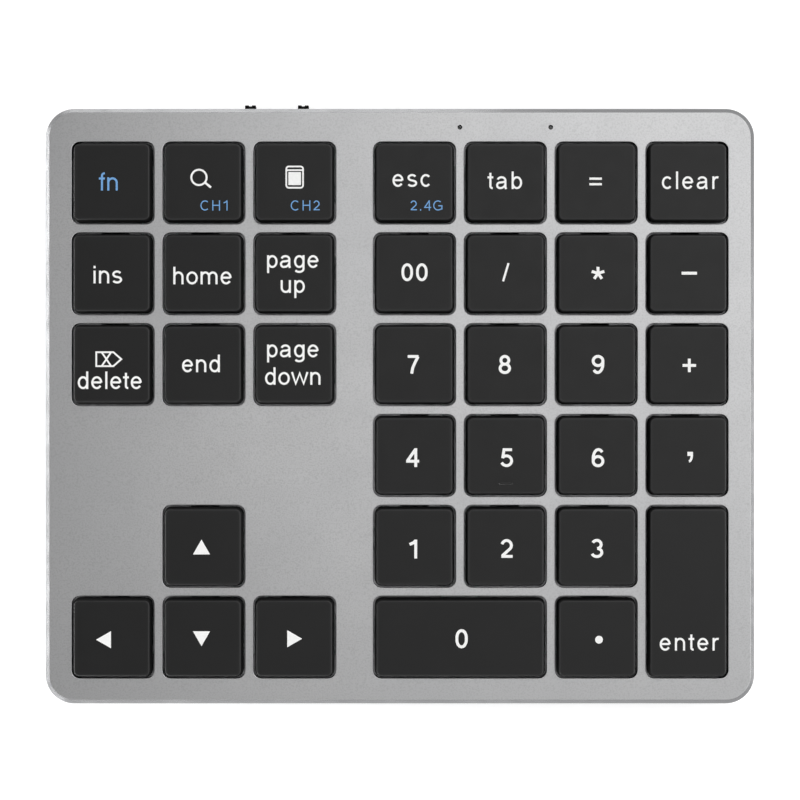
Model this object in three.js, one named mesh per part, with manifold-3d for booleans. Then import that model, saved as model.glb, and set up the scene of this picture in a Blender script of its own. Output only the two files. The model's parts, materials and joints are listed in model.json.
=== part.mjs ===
// A 35-key wireless numeric keypad: an aluminium top cover with the keys set into it, on a wedge-shaped
// plastic case that raises the rear edge.
// Units are millimetres. +X is to the user's right, +Y to the rear and +Z up. The origin is the middle of
// the keypad's footprint, on the surface that it stands on.

import * as THREE from 'three';
import { mergeVertices } from 'three/addons/utils/BufferGeometryUtils.js';
import Module from 'manifold-3d';

const wasm = await Module();
wasm.setup();

// ---------------------------------------------------------------- driving dimensions

// The key grid, seen square on to the deck. u runs along it to the right, v to the rear and w out of it.
const pitch = 19;
const aperture = 17.3; // opening in the top cover for a key one unit wide
const apertureRadius = 1.7;
const clusterGap = 6.05; // extra space between the navigation keys and the number keys
const sideMargin = 5.55;
const rearMargin = 6.96;
const frontMargin = 5.34;
const keyRows = [
  ['fn', 'search', 'calculator', 'escape', 'tab', 'equals', 'clear'],
  ['insert', 'home', 'page_up', 'double_zero', 'divide', 'multiply', 'minus'],
  ['delete', 'end', 'page_down', '7', '8', '9', 'plus'],
  [null, null, null, '4', '5', '6', 'comma'],
  [null, 'arrow_up', null, '1', '2', '3', 'enter'],
  ['arrow_left', 'arrow_down', 'arrow_right', '0', null, 'point', null],
];
const longKeys = { enter: { across: 1, down: 2 }, 0: { across: 2, down: 1 } };
const firstNumberColumn = 3;
const lastColumn = keyRows[0].length - 1;

// The wedge: the deck plane rises to the rear and passes deckHeight above the origin.
const tilt = THREE.MathUtils.degToRad(3);
const deckHeight = 9.9;

// Keycaps, as heights above the deck (w)
const keyTop = 1.9;
const keyCeiling = 1.0;
const keyBottom = -0.6;
const keyGap = 0.35; // between a key's skirt and its aperture
const keyDraft = 0.4; // how far each side leans in from skirt to top
const keyRadius = 1.5;
const keyWall = 1.0;
const homingBar = { wide: 2.9, deep: 0.5, tall: 0.25, forward: 5.8 };

// Top cover
const bodyWidth = 2 * sideMargin + lastColumn * pitch + aperture + clusterGap;
const bodyDepth = rearMargin + frontMargin + (keyRows.length - 1) * pitch + aperture;
const cornerRadius = 6;
const coverChamfer = 0.9;
const plateThickness = 1.2;
const skirtThickness = 1.2;
const skirtBottom = -3.0;
const screwInset = 4; // from both sides of a corner
const bossRadius = 2;
const bossBottom = -2.8;
const lightHole = { radius: 0.5, rearInset: 3.97, betweenColumns: [3, 4] };

// Case
const caseTop = -3.1;
const caseWall = 1.6;
const caseBottom = 0.8; // height above the ground, as the next six are
const caseFloor = 2.4;
const footHeight = 1.3;
const footRecessTop = 1.6;
const boardBottom = 4.2;
const boardTop = 5.2;
const postTop = 3.9;
const caseChamfer = 0.8;
const lip = { outerInset: 1.3, innerInset: 2.3, top: -1.9, bottom: -4.2 };
const towerRadius = 2.5;
const towerTop = caseTop;

// Screws, from below
const screw = { shank: 0.8, head: 1.5, headTop: -3.9, headBottom: -4.8, tip: -1.3 };
const screwHole = 0.95;
const counterbore = 1.75;

// Feet
const footRadius = 4.5;
const footRecessRadius = 4.8;
const footInset = { side: 15, front: 12, rear: 12 };

// Layers under the keys, as heights above the deck (w)
const film = { bottom: -2.85, top: -2.6, halfWidth: 3.3 };
const membrane = { bottom: -3.2, top: -2.9, halfWidth: 3.8 };
const plate = { bottom: -3.7, top: -3.3, inset: 2.7, rearInset: 5.7, notch: 4.4 };
const dome = { top: 0.9, topRadius: 1.7, baseRadius: 3.2 };
const stripEnd = 4; // how far a strip runs on past its last key's centre
const tail = { from: -14, to: -4, rear: 57.25, bottom: -7.0 };

// Electronics in the rear of the case
const board = { left: -44, right: 40, front: 47, rear: 60.6 };
const battery = { wide: 50, deep: 34, bottom: 2.7, top: 6.2, x: -6, y: 27 };
const port = { x: 1.5, wide: 8.94, tall: 3.2, shell: 0.3, front: 55.3, rear: 62.4, z: 6.9, backWall: 0.6 };
const portClearance = 0.3;
const tongue = { wide: 6.7, tall: 0.7, rear: 61.4 };
const knobTravel = 2.0;
const switches = { power: -31.7, mode: -20.5 }; // where each knob's middle is at rest
const switchBody = { wide: 7.4, front: 57.2, rear: 60.4, bottom: 5.3, top: 8.1 };
const knob = { wide: 2.3, bottom: 5.75, top: 7.65, front: 59.0, rear: 63.95 };
const knobClearance = 0.3;
const pipe = { radius: 0.4, baseRadius: 0.9, top: -0.15, shoulder: -1.6, bottom: -6.4 };

// Stabiliser wires of the two long keys
const wire = { radius: 0.4, halfLength: 14, barOffset: 6.1, barHeight: 0.35, arm: 6, pivotHeight: -2.1 };

// ---------------------------------------------------------------- materials

const material = (color, roughness, metalness) =>
  new THREE.MeshStandardMaterial({ color, roughness, metalness });
const anodisedAluminium = material(0xb4b6b9, 0.4, 1);
const keyPlastic = material(0x262627, 0.6, 0);
const casePlastic = material(0x8d8f92, 0.6, 0);
const darkPlastic = material(0x141414, 0.5, 0);
const springSteel = material(0xa9adb2, 0.35, 1);
const nickel = material(0xc8c8c4, 0.25, 1);
const silicone = material(0xd8dadb, 0.5, 0);
const polyester = material(0xcfd6cf, 0.4, 0);
const boardGreen = material(0x14472a, 0.5, 0);
const pouchFoil = material(0xb9bdc4, 0.4, 0.6);
const leadRed = material(0xa51f1f, 0.5, 0);
const clearPlastic = material(0xe8ecee, 0.1, 0);
const footRubber = material(0x1d1d1e, 0.9, 0);

// ---------------------------------------------------------------- geometry helpers

function solid(geometry) {
  const bare = new THREE.BufferGeometry();
  bare.setAttribute('position', geometry.getAttribute('position'));
  bare.setIndex(geometry.getIndex());
  const merged = mergeVertices(bare);
  return new wasm.Manifold(new wasm.Mesh({
    numProp: 3,
    vertProperties: merged.getAttribute('position').array,
    triVerts: new Uint32Array(merged.getIndex().array),
  }));
}

function surface(body) {
  const { vertProperties, triVerts } = body.getMesh();
  const geometry = new THREE.BufferGeometry();
  geometry.setAttribute('position', new THREE.BufferAttribute(vertProperties, 3));
  geometry.setIndex(new THREE.BufferAttribute(triVerts, 1));
  geometry.computeVertexNormals();
  return geometry;
}

function piece(name, body, finish, parent) {
  const mesh = new THREE.Mesh(surface(body), finish);
  mesh.name = name;
  parent.add(mesh);
}

function roundedRectangle(wide, deep, radius) {
  const x = wide / 2 - radius;
  const y = deep / 2 - radius;
  const quarter = Math.PI / 2;
  const outline = new THREE.Shape();
  outline.absarc(x, y, radius, 0, quarter);
  outline.absarc(-x, y, radius, quarter, 2 * quarter);
  outline.absarc(-x, -y, radius, 2 * quarter, 3 * quarter);
  outline.absarc(x, -y, radius, 3 * quarter, 4 * quarter);
  return outline;
}

function bodyOutline(inset) {
  return roundedRectangle(bodyWidth - 2 * inset, bodyDepth - 2 * inset, cornerRadius - inset);
}

function prism(outline, bottom, top, curveSegments = 1) {
  const settings = { depth: top - bottom, bevelEnabled: false, curveSegments };
  return new THREE.ExtrudeGeometry(outline, settings).translate(0, 0, bottom);
}

function block(low, high) {
  const size = high.map((value, axis) => value - low[axis]);
  const middle = high.map((value, axis) => (value + low[axis]) / 2);
  return new THREE.BoxGeometry(...size).translate(...middle);
}

// An upright round bar, or a cone when topRadius is given.
function rod(radius, bottom, top, x = 0, y = 0, sides = 12, topRadius = radius) {
  return new THREE.CylinderGeometry(topRadius, radius, top - bottom, sides)
    .rotateX(Math.PI / 2)
    .translate(x, y, (top + bottom) / 2);
}

function union(geometries) {
  return geometries.map(solid).reduce((whole, next) => whole.add(next));
}

// ---------------------------------------------------------------- the deck's own frame

const deckFrame = new THREE.Matrix4().makeRotationX(tilt).setPosition(0, 0, deckHeight);
const onDeck = (geometry) => geometry.applyMatrix4(deckFrame);

function columnCentre(column) {
  const step = column >= firstNumberColumn ? clusterGap : 0;
  return -bodyWidth / 2 + sideMargin + aperture / 2 + column * pitch + step;
}

function rowCentre(row) {
  return bodyDepth / 2 - rearMargin - aperture / 2 - row * pitch;
}

const keys = keyRows.flatMap((names, row) => names.flatMap((name, column) => {
  if (name === null) return [];
  const { across, down } = longKeys[name] ?? { across: 1, down: 1 };
  return [{
    name,
    u: (columnCentre(column) + columnCentre(column + across - 1)) / 2,
    v: (rowCentre(row) + rowCentre(row + down - 1)) / 2,
    wide: aperture + (across - 1) * pitch,
    deep: aperture + (down - 1) * pitch,
  }];
}));

const corners = [[-1, -1], [1, -1], [-1, 1], [1, 1]];
const cornerNames = ['front_left', 'front_right', 'rear_left', 'rear_right'];
const screwPlaces = corners.map(([side, end]) => [
  side * (bodyWidth / 2 - screwInset),
  end * (bodyDepth / 2 - screwInset),
]);
const footPlaces = corners.map(([side, end]) => [
  side * (bodyWidth / 2 - footInset.side),
  end * (bodyDepth / 2 - (end < 0 ? footInset.front : footInset.rear)),
]);
const lightPlaces = lightHole.betweenColumns.map((column) => [
  (columnCentre(column) + columnCentre(column + 1)) / 2,
  bodyDepth / 2 - lightHole.rearInset,
]);

// ---------------------------------------------------------------- keycaps

// The points above the middle are drawn in, so that the four sides lean inwards.
function drafted(geometry, wide, deep, middle) {
  const points = geometry.getAttribute('position');
  for (let i = 0; i < points.count; i += 1) {
    if (points.getZ(i) > middle) {
      points.setX(i, points.getX(i) * (1 - (2 * keyDraft) / wide));
      points.setY(i, points.getY(i) * (1 - (2 * keyDraft) / deep));
    }
  }
  return geometry;
}

function keycap(key) {
  const wide = key.wide - 2 * keyGap;
  const deep = key.deep - 2 * keyGap;
  const outer = prism(roundedRectangle(wide, deep, keyRadius), keyBottom, keyTop);
  const inner = roundedRectangle(wide - 2 * keyWall, deep - 2 * keyWall, keyRadius - 0.5);
  const hollow = prism(inner, keyBottom - 1, keyCeiling);
  let cap = solid(drafted(outer, wide, deep, 0)).subtract(solid(hollow));
  if (key.name === '5') {
    const { wide: long, deep: narrow, tall, forward } = homingBar;
    const low = [-long / 2, -forward - narrow / 2, keyCeiling + 0.3];
    const high = [long / 2, -forward + narrow / 2, keyTop + tall];
    cap = cap.add(solid(block(low, high)));
  }
  return cap.translate([key.u, key.v, 0]);
}

// ---------------------------------------------------------------- top cover

function topCover() {
  const chamfered = new THREE.ExtrudeGeometry(bodyOutline(coverChamfer), {
    depth: -coverChamfer - skirtBottom,
    bevelThickness: coverChamfer,
    bevelSize: coverChamfer,
    bevelSegments: 1,
    curveSegments: 2,
  }).translate(0, 0, skirtBottom);
  const below = block([-bodyWidth, -bodyDepth, 2 * skirtBottom], [bodyWidth, bodyDepth, skirtBottom]);
  const inside = prism(bodyOutline(skirtThickness), 2 * skirtBottom, -plateThickness, 2);
  let cover = solid(chamfered).subtract(solid(below)).subtract(solid(inside));
  for (const [u, v] of screwPlaces) {
    cover = cover.add(solid(rod(bossRadius, bossBottom, -plateThickness / 2, u, v)));
  }
  for (const [u, v] of screwPlaces) {
    cover = cover.subtract(solid(rod(screwHole, 2 * bossBottom, screw.tip + 0.3, u, v, 8)));
  }
  for (const key of keys) {
    const opening = prism(roundedRectangle(key.wide, key.deep, apertureRadius), skirtBottom, 1);
    cover = cover.subtract(solid(opening.translate(key.u, key.v, 0)));
  }
  for (const [u, v] of lightPlaces) {
    cover = cover.subtract(solid(rod(lightHole.radius, skirtBottom, 1, u, v, 8)));
  }
  return cover;
}

// ---------------------------------------------------------------- bottom case

// The case's walls stand square to the deck, and its floor is level with the ground.
function levelSlab(bottom, top) {
  return solid(block([-bodyWidth, -bodyDepth, bottom], [bodyWidth, bodyDepth, top]));
}

function chamferedBase() {
  // Wider than the case by spare, so that it cuts only the edge round the floor.
  const spare = 0.3;
  const rise = caseChamfer + spare;
  const deckDrop = (caseBottom - deckHeight) / Math.cos(tilt);
  const shift = -deckDrop * Math.sin(tilt);
  return solid(new THREE.ExtrudeGeometry(bodyOutline(caseChamfer), {
    depth: 2 * deckHeight,
    bevelThickness: rise,
    bevelSize: rise,
    bevelSegments: 1,
    curveSegments: 2,
  }).translate(0, shift, caseBottom + rise));
}

function bottomCase() {
  const deep = -3 * deckHeight;
  let shell = solid(onDeck(prism(bodyOutline(0), deep, caseTop, 2)))
    .intersect(chamferedBase())
    .subtract(solid(onDeck(prism(bodyOutline(caseWall), deep, 0, 2))).intersect(levelSlab(caseFloor, 40)));
  const ring = solid(onDeck(prism(bodyOutline(lip.outerInset), lip.bottom, lip.top, 2)))
    .subtract(solid(onDeck(prism(bodyOutline(lip.innerInset), 2 * lip.bottom, 0, 2))))
    .intersect(levelSlab(caseFloor - 0.2, 40));
  shell = shell.add(ring);
  for (const [u, v] of screwPlaces) {
    const roomForBoss = solid(onDeck(rod(bossRadius + 0.35, towerTop, 0, u, v)));
    const tower = solid(onDeck(rod(towerRadius, deep, towerTop, u, v))).intersect(levelSlab(caseBottom + 0.3, 40));
    shell = shell.subtract(roomForBoss).add(tower);
  }
  for (const [u, v] of screwPlaces) {
    shell = shell
      .subtract(solid(onDeck(rod(screwHole, deep, 0, u, v, 8))))
      .subtract(solid(onDeck(rod(counterbore, deep, screw.headTop + 0.1, u, v))));
  }
  for (const [x, y] of footPlaces) {
    shell = shell.subtract(solid(rod(footRecessRadius, 0, footRecessTop, x, y, 16)));
  }
  for (const x of [board.left + 5, -5, board.right - 5]) {
    shell = shell.add(solid(rod(1.8, caseFloor - 0.3, postTop, x, (board.front + board.rear) / 2, 8)));
  }
  for (const rib of batteryRibs()) {
    shell = shell.add(solid(rib));
  }
  for (const middle of Object.values(switches)) {
    const low = [middle - knob.wide / 2 - knobClearance, knob.front, knob.bottom - knobClearance];
    const high = [middle + knob.wide / 2 + knobTravel + knobClearance, 2 * knob.rear, knob.top + knobClearance];
    shell = shell.subtract(solid(block(low, high)));
  }
  const mouth = roundedRectangle(
    port.wide + 2 * portClearance,
    port.tall + 2 * portClearance,
    port.tall / 2 + portClearance - 0.01,
  );
  return shell.subtract(solid(facingRear(mouth, port.front, 2 * port.rear).translate(port.x, 0, port.z)));
}

// Low walls on the floor, in front of the battery, behind it and at its sides.
function batteryRibs() {
  const gap = 0.4;
  const thick = 1.2;
  const low = caseFloor - 0.3;
  const high = caseFloor + 1.4;
  const left = battery.x - battery.wide / 2 - gap;
  const right = battery.x + battery.wide / 2 + gap;
  const front = battery.y - battery.deep / 2 - gap;
  const rear = battery.y + battery.deep / 2 + gap;
  return [
    block([left, front - thick, low], [right, front, high]),
    block([left, rear, low], [right, rear + thick, high]),
    block([left - thick, front - thick, low], [left, rear + thick, high]),
    block([right, front - thick, low], [right + thick, rear + thick, high]),
  ];
}

// An outline drawn across and up, carried from one y to another.
function facingRear(outline, from, to) {
  return prism(outline, -to, -from).rotateX(Math.PI / 2);
}

// ---------------------------------------------------------------- layers under the keys

// Strips under the rows of keys, with links from row to row.
function strips({ bottom, top, halfWidth }) {
  const rowStrips = keyRows.map((names, row) => {
    const start = columnCentre(names.findIndex((name) => name !== null)) - stripEnd;
    const v = rowCentre(row);
    return block([start, v - halfWidth, bottom], [columnCentre(lastColumn) + stripEnd, v + halfWidth, top]);
  });
  const between = (column) => (columnCentre(column) + columnCentre(column + 1)) / 2;
  const links = [
    { u: between(0), rows: [0, 2] },
    { u: between(1), rows: [4, 5] },
    { u: between(3), rows: [0, 5] },
    { u: columnCentre(lastColumn), rows: [4, 5] },
  ].map(({ u, rows: [first, last] }) => block(
    [u - halfWidth, rowCentre(last), bottom],
    [u + halfWidth, rowCentre(first), top],
  ));
  return union([...rowStrips, ...links]);
}

function domeSheet() {
  let sheet = strips(film);
  for (const { u, v } of keys) {
    const middle = (film.bottom + film.top) / 2;
    sheet = sheet.add(solid(rod(dome.baseRadius, middle, dome.top, u, v, 8, dome.topRadius)));
  }
  return sheet;
}

// The tail runs to the rear over the key plate's edge and down to the board.
function membraneCircuit() {
  const { bottom, top } = membrane;
  const thick = top - bottom;
  const along = block([tail.from, rowCentre(0), bottom], [tail.to, tail.rear, top]);
  const down = block([tail.from, tail.rear - thick, tail.bottom], [tail.to, tail.rear, top]);
  return strips(membrane).add(solid(along)).add(solid(down));
}

// A steel sheet with its corners cut away round the screw towers.
function keyPlate() {
  const x = bodyWidth / 2 - plate.inset;
  const front = -bodyDepth / 2 + plate.inset;
  const rear = bodyDepth / 2 - plate.rearInset;
  const { notch } = plate;
  const sheet = new THREE.Shape([
    [-x + notch, front],
    [x - notch, front],
    [x - notch, front + notch],
    [x, front + notch],
    [x, rear - notch],
    [x - notch, rear - notch],
    [x - notch, rear],
    [-x + notch, rear],
    [-x + notch, rear - notch],
    [-x, rear - notch],
    [-x, front + notch],
    [-x + notch, front + notch],
  ].map(([u, v]) => new THREE.Vector2(u, v)));
  return solid(prism(sheet, plate.bottom, plate.top));
}

// ---------------------------------------------------------------- stabiliser wires

// One bent wire: a long bar in the keycap, an arm at each end, and a short foot that turns in the key plate.
// It is drawn along X, with the bar on the +Y side, and its middle under the key's middle.
function stabiliserWire() {
  const { radius, halfLength, barOffset, barHeight, arm, pivotHeight } = wire;
  const rise = barHeight - pivotHeight;
  const reach = Math.sqrt(arm * arm - rise * rise);
  const foot = 1.8;
  const bend = 0.8;
  const along = (from, to) => new THREE.Vector3().lerpVectors(from, to, bend / from.distanceTo(to)).toArray();
  const route = [-1, 1].map((side) => ({
    tip: new THREE.Vector3(side * (halfLength - foot), barOffset - reach, pivotHeight),
    elbow: new THREE.Vector3(side * halfLength, barOffset - reach, pivotHeight),
    shoulder: new THREE.Vector3(side * halfLength, barOffset, barHeight),
  }));
  const path = new THREE.CurvePath();
  const [left, right] = route;
  const stops = [left.tip, left.elbow, left.shoulder, right.shoulder, right.elbow, right.tip];
  let start = stops[0];
  for (let i = 1; i < stops.length - 1; i += 1) {
    const before = new THREE.Vector3(...along(stops[i], stops[i - 1]));
    const after = new THREE.Vector3(...along(stops[i], stops[i + 1]));
    path.add(new THREE.LineCurve3(start, before));
    path.add(new THREE.QuadraticBezierCurve3(before, stops[i], after));
    start = after;
  }
  path.add(new THREE.LineCurve3(start, stops.at(-1)));
  const section = new THREE.Shape().absarc(0, 0, radius, 0, 2 * Math.PI);
  const settings = { steps: 36, bevelEnabled: false, extrudePath: path, curveSegments: 3 };
  return new THREE.ExtrudeGeometry(section, settings);
}

// ---------------------------------------------------------------- electronics

function controllerBoard() {
  const base = block([board.left, board.front, boardBottom], [board.right, board.rear, boardTop]);
  const onBoard = (x, y, wide, deep, tall) => block(
    [x - wide / 2, y - deep / 2, boardTop - 0.1],
    [x + wide / 2, y + deep / 2, boardTop + tall],
  );
  return union([
    base,
    onBoard(8, 52, 6, 6, 0.9), // controller
    onBoard(-9, 55.4, 11, 2.4, 1.1), // socket for the membrane's tail
    onBoard(30, 49.4, 4.4, 3, 1.9), // battery socket
    ...lightPlaces.map(([u]) => onBoard(u, 58.6, 1.6, 1.2, 0.6)), // light-emitting diodes
  ]);
}

function usbPort() {
  const outline = (inset) => roundedRectangle(
    port.wide - 2 * inset,
    port.tall - 2 * inset,
    port.tall / 2 - inset - 0.01,
  );
  const shell = solid(facingRear(outline(0), port.front, port.rear));
  const socket = solid(facingRear(outline(port.shell), port.front + port.backWall, 2 * port.rear));
  const blade = block(
    [-tongue.wide / 2, port.front + port.backWall / 2, -tongue.tall / 2],
    [tongue.wide / 2, tongue.rear, tongue.tall / 2],
  );
  return shell.subtract(socket).add(solid(blade)).translate([port.x, 0, port.z]);
}

// The housing is open towards the rear wall, where its knob slides.
function slideSwitchBody(middle) {
  const { wide, front, rear, bottom, top } = switchBody;
  const centre = middle + knobTravel / 2;
  const housing = block([centre - wide / 2, front, bottom], [centre + wide / 2, rear, top]);
  const track = block(
    [middle - knob.wide / 2 - knobClearance, knob.front - knobClearance, knob.bottom - knobClearance],
    [middle + knob.wide / 2 + knobTravel + knobClearance, 2 * rear, knob.top + knobClearance],
  );
  return solid(housing).subtract(solid(track));
}

// Two ridges with a groove between them, for a fingernail.
function slideSwitchKnob(middle) {
  const { wide, bottom, top, front, rear } = knob;
  const groove = { wide: 0.6, deep: 0.45 };
  const stem = block([middle - wide / 2, front, bottom], [middle + wide / 2, rear, top]);
  const cut = block(
    [middle - groove.wide / 2, rear - groove.deep, bottom - 1],
    [middle + groove.wide / 2, 2 * rear, top + 1],
  );
  return solid(stem).subtract(solid(cut));
}

function lightPipe(u, v) {
  const base = rod(pipe.baseRadius, pipe.bottom, pipe.shoulder, u, v, 8);
  const tip = rod(pipe.radius, pipe.shoulder - 0.2, pipe.top, u, v, 8);
  return union([base, tip]);
}

// Two cores side by side, from the battery's rear edge up to its socket on the board.
function batteryLead() {
  const rear = battery.y + battery.deep / 2;
  const path = new THREE.CatmullRomCurve3([
    [12, rear + 0.4, 5.0],
    [12.1, rear + 1.3, 5.1],
    [14.5, rear + 2.4, 5.6],
    [20, rear + 2.7, 6.2],
    [26, rear + 2.2, 6.5],
    [29.5, rear + 2.4, 6.4],
    [30, rear + 3.5, 6.3],
  ].map((point) => new THREE.Vector3(...point)));
  const section = new THREE.Shape().absellipse(0, 0, 0.5, 0.9, 0, 2 * Math.PI);
  const settings = { steps: 16, bevelEnabled: false, extrudePath: path, curveSegments: 4 };
  return new THREE.ExtrudeGeometry(section, settings);
}

function screwBody(u, v) {
  const head = rod(screw.head, screw.headBottom, screw.headTop, u, v);
  const shank = rod(screw.shank, screw.headTop - 0.2, screw.tip, u, v, 8);
  return union([head, shank]);
}

// ---------------------------------------------------------------- assembly

const keypad = new THREE.Group();
const deck = new THREE.Group();
deck.rotation.x = tilt;
deck.position.z = deckHeight;
keypad.add(deck);

for (const key of keys) {
  piece(`key_${key.name}`, keycap(key), keyPlastic, deck);
}
piece('top_cover', topCover(), anodisedAluminium, deck);
piece('dome_sheet', domeSheet(), silicone, deck);
piece('membrane_circuit', membraneCircuit(), polyester, deck);
piece('key_plate', keyPlate(), springSteel, deck);
const [zeroKey, enterKey] = ['0', 'enter'].map((name) => keys.find((key) => key.name === name));
piece('stabiliser_bar_zero', solid(stabiliserWire().translate(zeroKey.u, zeroKey.v, 0)), springSteel, deck);
const enterWire = stabiliserWire().rotateZ(-Math.PI / 2).translate(enterKey.u, enterKey.v, 0);
piece('stabiliser_bar_enter', solid(enterWire), springSteel, deck);
lightPlaces.forEach(([u, v], i) => {
  piece(['light_pipe_left', 'light_pipe_right'][i], lightPipe(u, v), clearPlastic, deck);
});
screwPlaces.forEach(([u, v], i) => {
  piece(`screw_${cornerNames[i]}`, screwBody(u, v), nickel, deck);
});

piece('bottom_case', bottomCase(), casePlastic, keypad);
piece('controller_board', controllerBoard(), boardGreen, keypad);
const cell = prism(roundedRectangle(battery.wide, battery.deep, 1.5), battery.bottom, battery.top);
piece('battery', solid(cell.translate(battery.x, battery.y, 0)), pouchFoil, keypad);
piece('battery_lead', solid(batteryLead()), leadRed, keypad);
piece('usb_port', usbPort(), nickel, keypad);
for (const [name, middle] of Object.entries(switches)) {
  piece(`${name}_switch_body`, slideSwitchBody(middle), darkPlastic, keypad);
  piece(`${name}_switch_knob`, slideSwitchKnob(middle), darkPlastic, keypad);
}
footPlaces.forEach(([x, y], i) => {
  piece(`foot_${cornerNames[i]}`, solid(rod(footRadius, 0, footHeight, x, y, 16)), footRubber, keypad);
});

// The knobs stand out at the rear, so the whole is moved to put its middle over the origin.
const extent = new THREE.Box3().setFromObject(keypad, true).getCenter(new THREE.Vector3());
keypad.position.set(-extent.x, -extent.y, 0);
keypad.updateMatrixWorld(true);

export default keypad;
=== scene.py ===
"""A 35-key wireless numeric keypad: its finished pieces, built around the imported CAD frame.

Lengths are millimetres until a piece is placed, because the scene itself is in metres. Two local frames are
used. The deck frame lies on the tilted top cover, with u to the right, v to the rear and w out of the deck.
The level frame has its heights measured from the ground that the keypad stands on.
"""

import json
import math

import bmesh
import bpy
from mathutils import Matrix, Vector
from mathutils.geometry import delaunay_2d_cdt, tessellate_polygon

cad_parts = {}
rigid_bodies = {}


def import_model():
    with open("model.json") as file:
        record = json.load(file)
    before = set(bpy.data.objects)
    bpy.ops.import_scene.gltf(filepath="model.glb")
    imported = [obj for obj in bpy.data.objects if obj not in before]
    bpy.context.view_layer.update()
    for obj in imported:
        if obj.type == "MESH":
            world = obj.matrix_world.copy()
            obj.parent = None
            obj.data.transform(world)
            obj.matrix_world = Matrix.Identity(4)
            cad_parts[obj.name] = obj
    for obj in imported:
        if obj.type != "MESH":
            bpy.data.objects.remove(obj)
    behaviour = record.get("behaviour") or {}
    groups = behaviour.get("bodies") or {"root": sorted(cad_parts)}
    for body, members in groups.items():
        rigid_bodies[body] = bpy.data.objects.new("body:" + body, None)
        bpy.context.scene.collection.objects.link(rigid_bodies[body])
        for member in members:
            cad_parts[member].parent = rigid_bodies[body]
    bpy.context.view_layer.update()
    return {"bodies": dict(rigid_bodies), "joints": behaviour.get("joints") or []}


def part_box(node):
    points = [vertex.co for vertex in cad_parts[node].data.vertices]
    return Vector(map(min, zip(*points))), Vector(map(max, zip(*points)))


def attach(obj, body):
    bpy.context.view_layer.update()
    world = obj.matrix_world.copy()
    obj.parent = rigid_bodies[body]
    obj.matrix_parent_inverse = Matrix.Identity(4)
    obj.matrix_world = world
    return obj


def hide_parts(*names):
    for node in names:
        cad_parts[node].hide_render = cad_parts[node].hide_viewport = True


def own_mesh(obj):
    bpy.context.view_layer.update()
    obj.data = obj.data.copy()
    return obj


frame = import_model()
MM = 0.001
QUARTER = math.pi / 2

# ---------------------------------------------------------------- sizes

# Top cover
SKIRT_BOTTOM = -3.0
PLATE_THICKNESS = 1.2
SKIRT_THICKNESS = 1.2
CORNER_RADIUS = 6.0
COVER_CHAMFER = 0.9
APERTURE_RADIUS = 1.7
SCREW_INSET = 4.0
BOSS_RADIUS = 2.0
BOSS_BOTTOM = -2.8
LIGHT_INSET = 3.97

# Keycaps, with heights above the deck
KEY_TOP = 1.9
KEY_CEILING = 1.0
KEY_BOTTOM = -0.6
KEY_GAP = 0.35
KEY_DRAFT = 0.4
KEY_RADIUS = 1.5
KEY_WALL = 1.0
KEY_FILLET = 0.3
CLIP_OFFSET = 4.4
INK_THICKNESS = 0.02

# Layers under the keys, with heights above the deck
FILM = (-2.85, -2.6)
MEMBRANE = (-3.2, -2.9)
KEY_PLATE = (-3.7, -3.3)
DOME_TOP = 0.9
DOME_TOP_RADIUS = 1.7
DOME_BASE_RADIUS = 3.2

# Case, with the heights of its rim above the deck
CASE_WALL = 1.6
CASE_CHAMFER = 0.8
CASE_TOP = -3.1
LIP = (-4.2, -1.9)
LIP_OUTER = 1.3
LIP_INNER = 2.3
# Case, with heights above the ground
CASE_BOTTOM = 0.8
CASE_FLOOR = 2.4
FOOT_RECESS_TOP = 1.6
POST_TOP = 3.9
POST_RADIUS = 1.8
TOWER_RADIUS = 2.5
SCREW_HOLE = 0.95
COUNTERBORE = 1.75
FOOT_RADIUS = 4.5
FOOT_RECESS_RADIUS = 4.8
FOOT_HEIGHT = 1.3
FOOT_SIDE = 15
FOOT_END = 12

# Fastenings and parts at the rear, with heights above the deck for the screws and light pipes
SCREW_HEAD = (-4.8, -3.9)
SCREW_TIP = -1.3
PIPE_TOP = -0.15
PIPE_SHOULDER = -1.6
PIPE_BOTTOM = -6.4
KNOB_MIDDLES = {"power": -31.7, "mode": -20.5}
KNOB_WIDTH = 2.3
KNOB_HEIGHTS = (5.75, 7.65)
KNOB_DEPTHS = (59.0, 63.95)
KNOB_TRAVEL = 2.0
KNOB_CLEARANCE = 0.3
KNOB_ROOM = (  # the width and height that a knob slides in
    KNOB_WIDTH + KNOB_TRAVEL + 2 * KNOB_CLEARANCE,
    KNOB_HEIGHTS[1] - KNOB_HEIGHTS[0] + 2 * KNOB_CLEARANCE,
)
PORT_X = 1.5
PORT_Z = 6.9
PORT_WIDE = 8.94
PORT_TALL = 3.2
PORT_DEPTHS = (55.3, 62.4)
PORT_WALL = 0.3

# Parts inside the case, as left, front, right and rear, with heights above the ground
BOARD = (-44, 47, 40, 60.6)
BOARD_HEIGHTS = (4.2, 5.2)
POSTS = (BOARD[0] + 5, -5, BOARD[2] - 5)
BATTERY = (-31, 10, 19, 44)
BATTERY_HEIGHTS = (2.7, 6.2)

# Stabiliser wires, with heights above the deck
WIRE_RADIUS = 0.4
WIRE_HALF = 14
WIRE_OFFSET = 6.1
WIRE_HEIGHT = 0.35
WIRE_ARM = 6
WIRE_PIVOT = -2.1

# Studio
CAMERA_AIM = 1.29
CAMERA_HEIGHT = 420
FRAME_WIDTH = 167.3
SENSOR = 36.0
FLOOR_SIZE = 4000
LIT_FLOOR = (115.0, 190.0)  # the floor's own light fades between these distances
WALL_LIGHT = 0.8

# ---------------------------------------------------------------- the two local frames


def joint(name):
    return next(entry for entry in frame["joints"] if entry["name"] == name)


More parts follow.
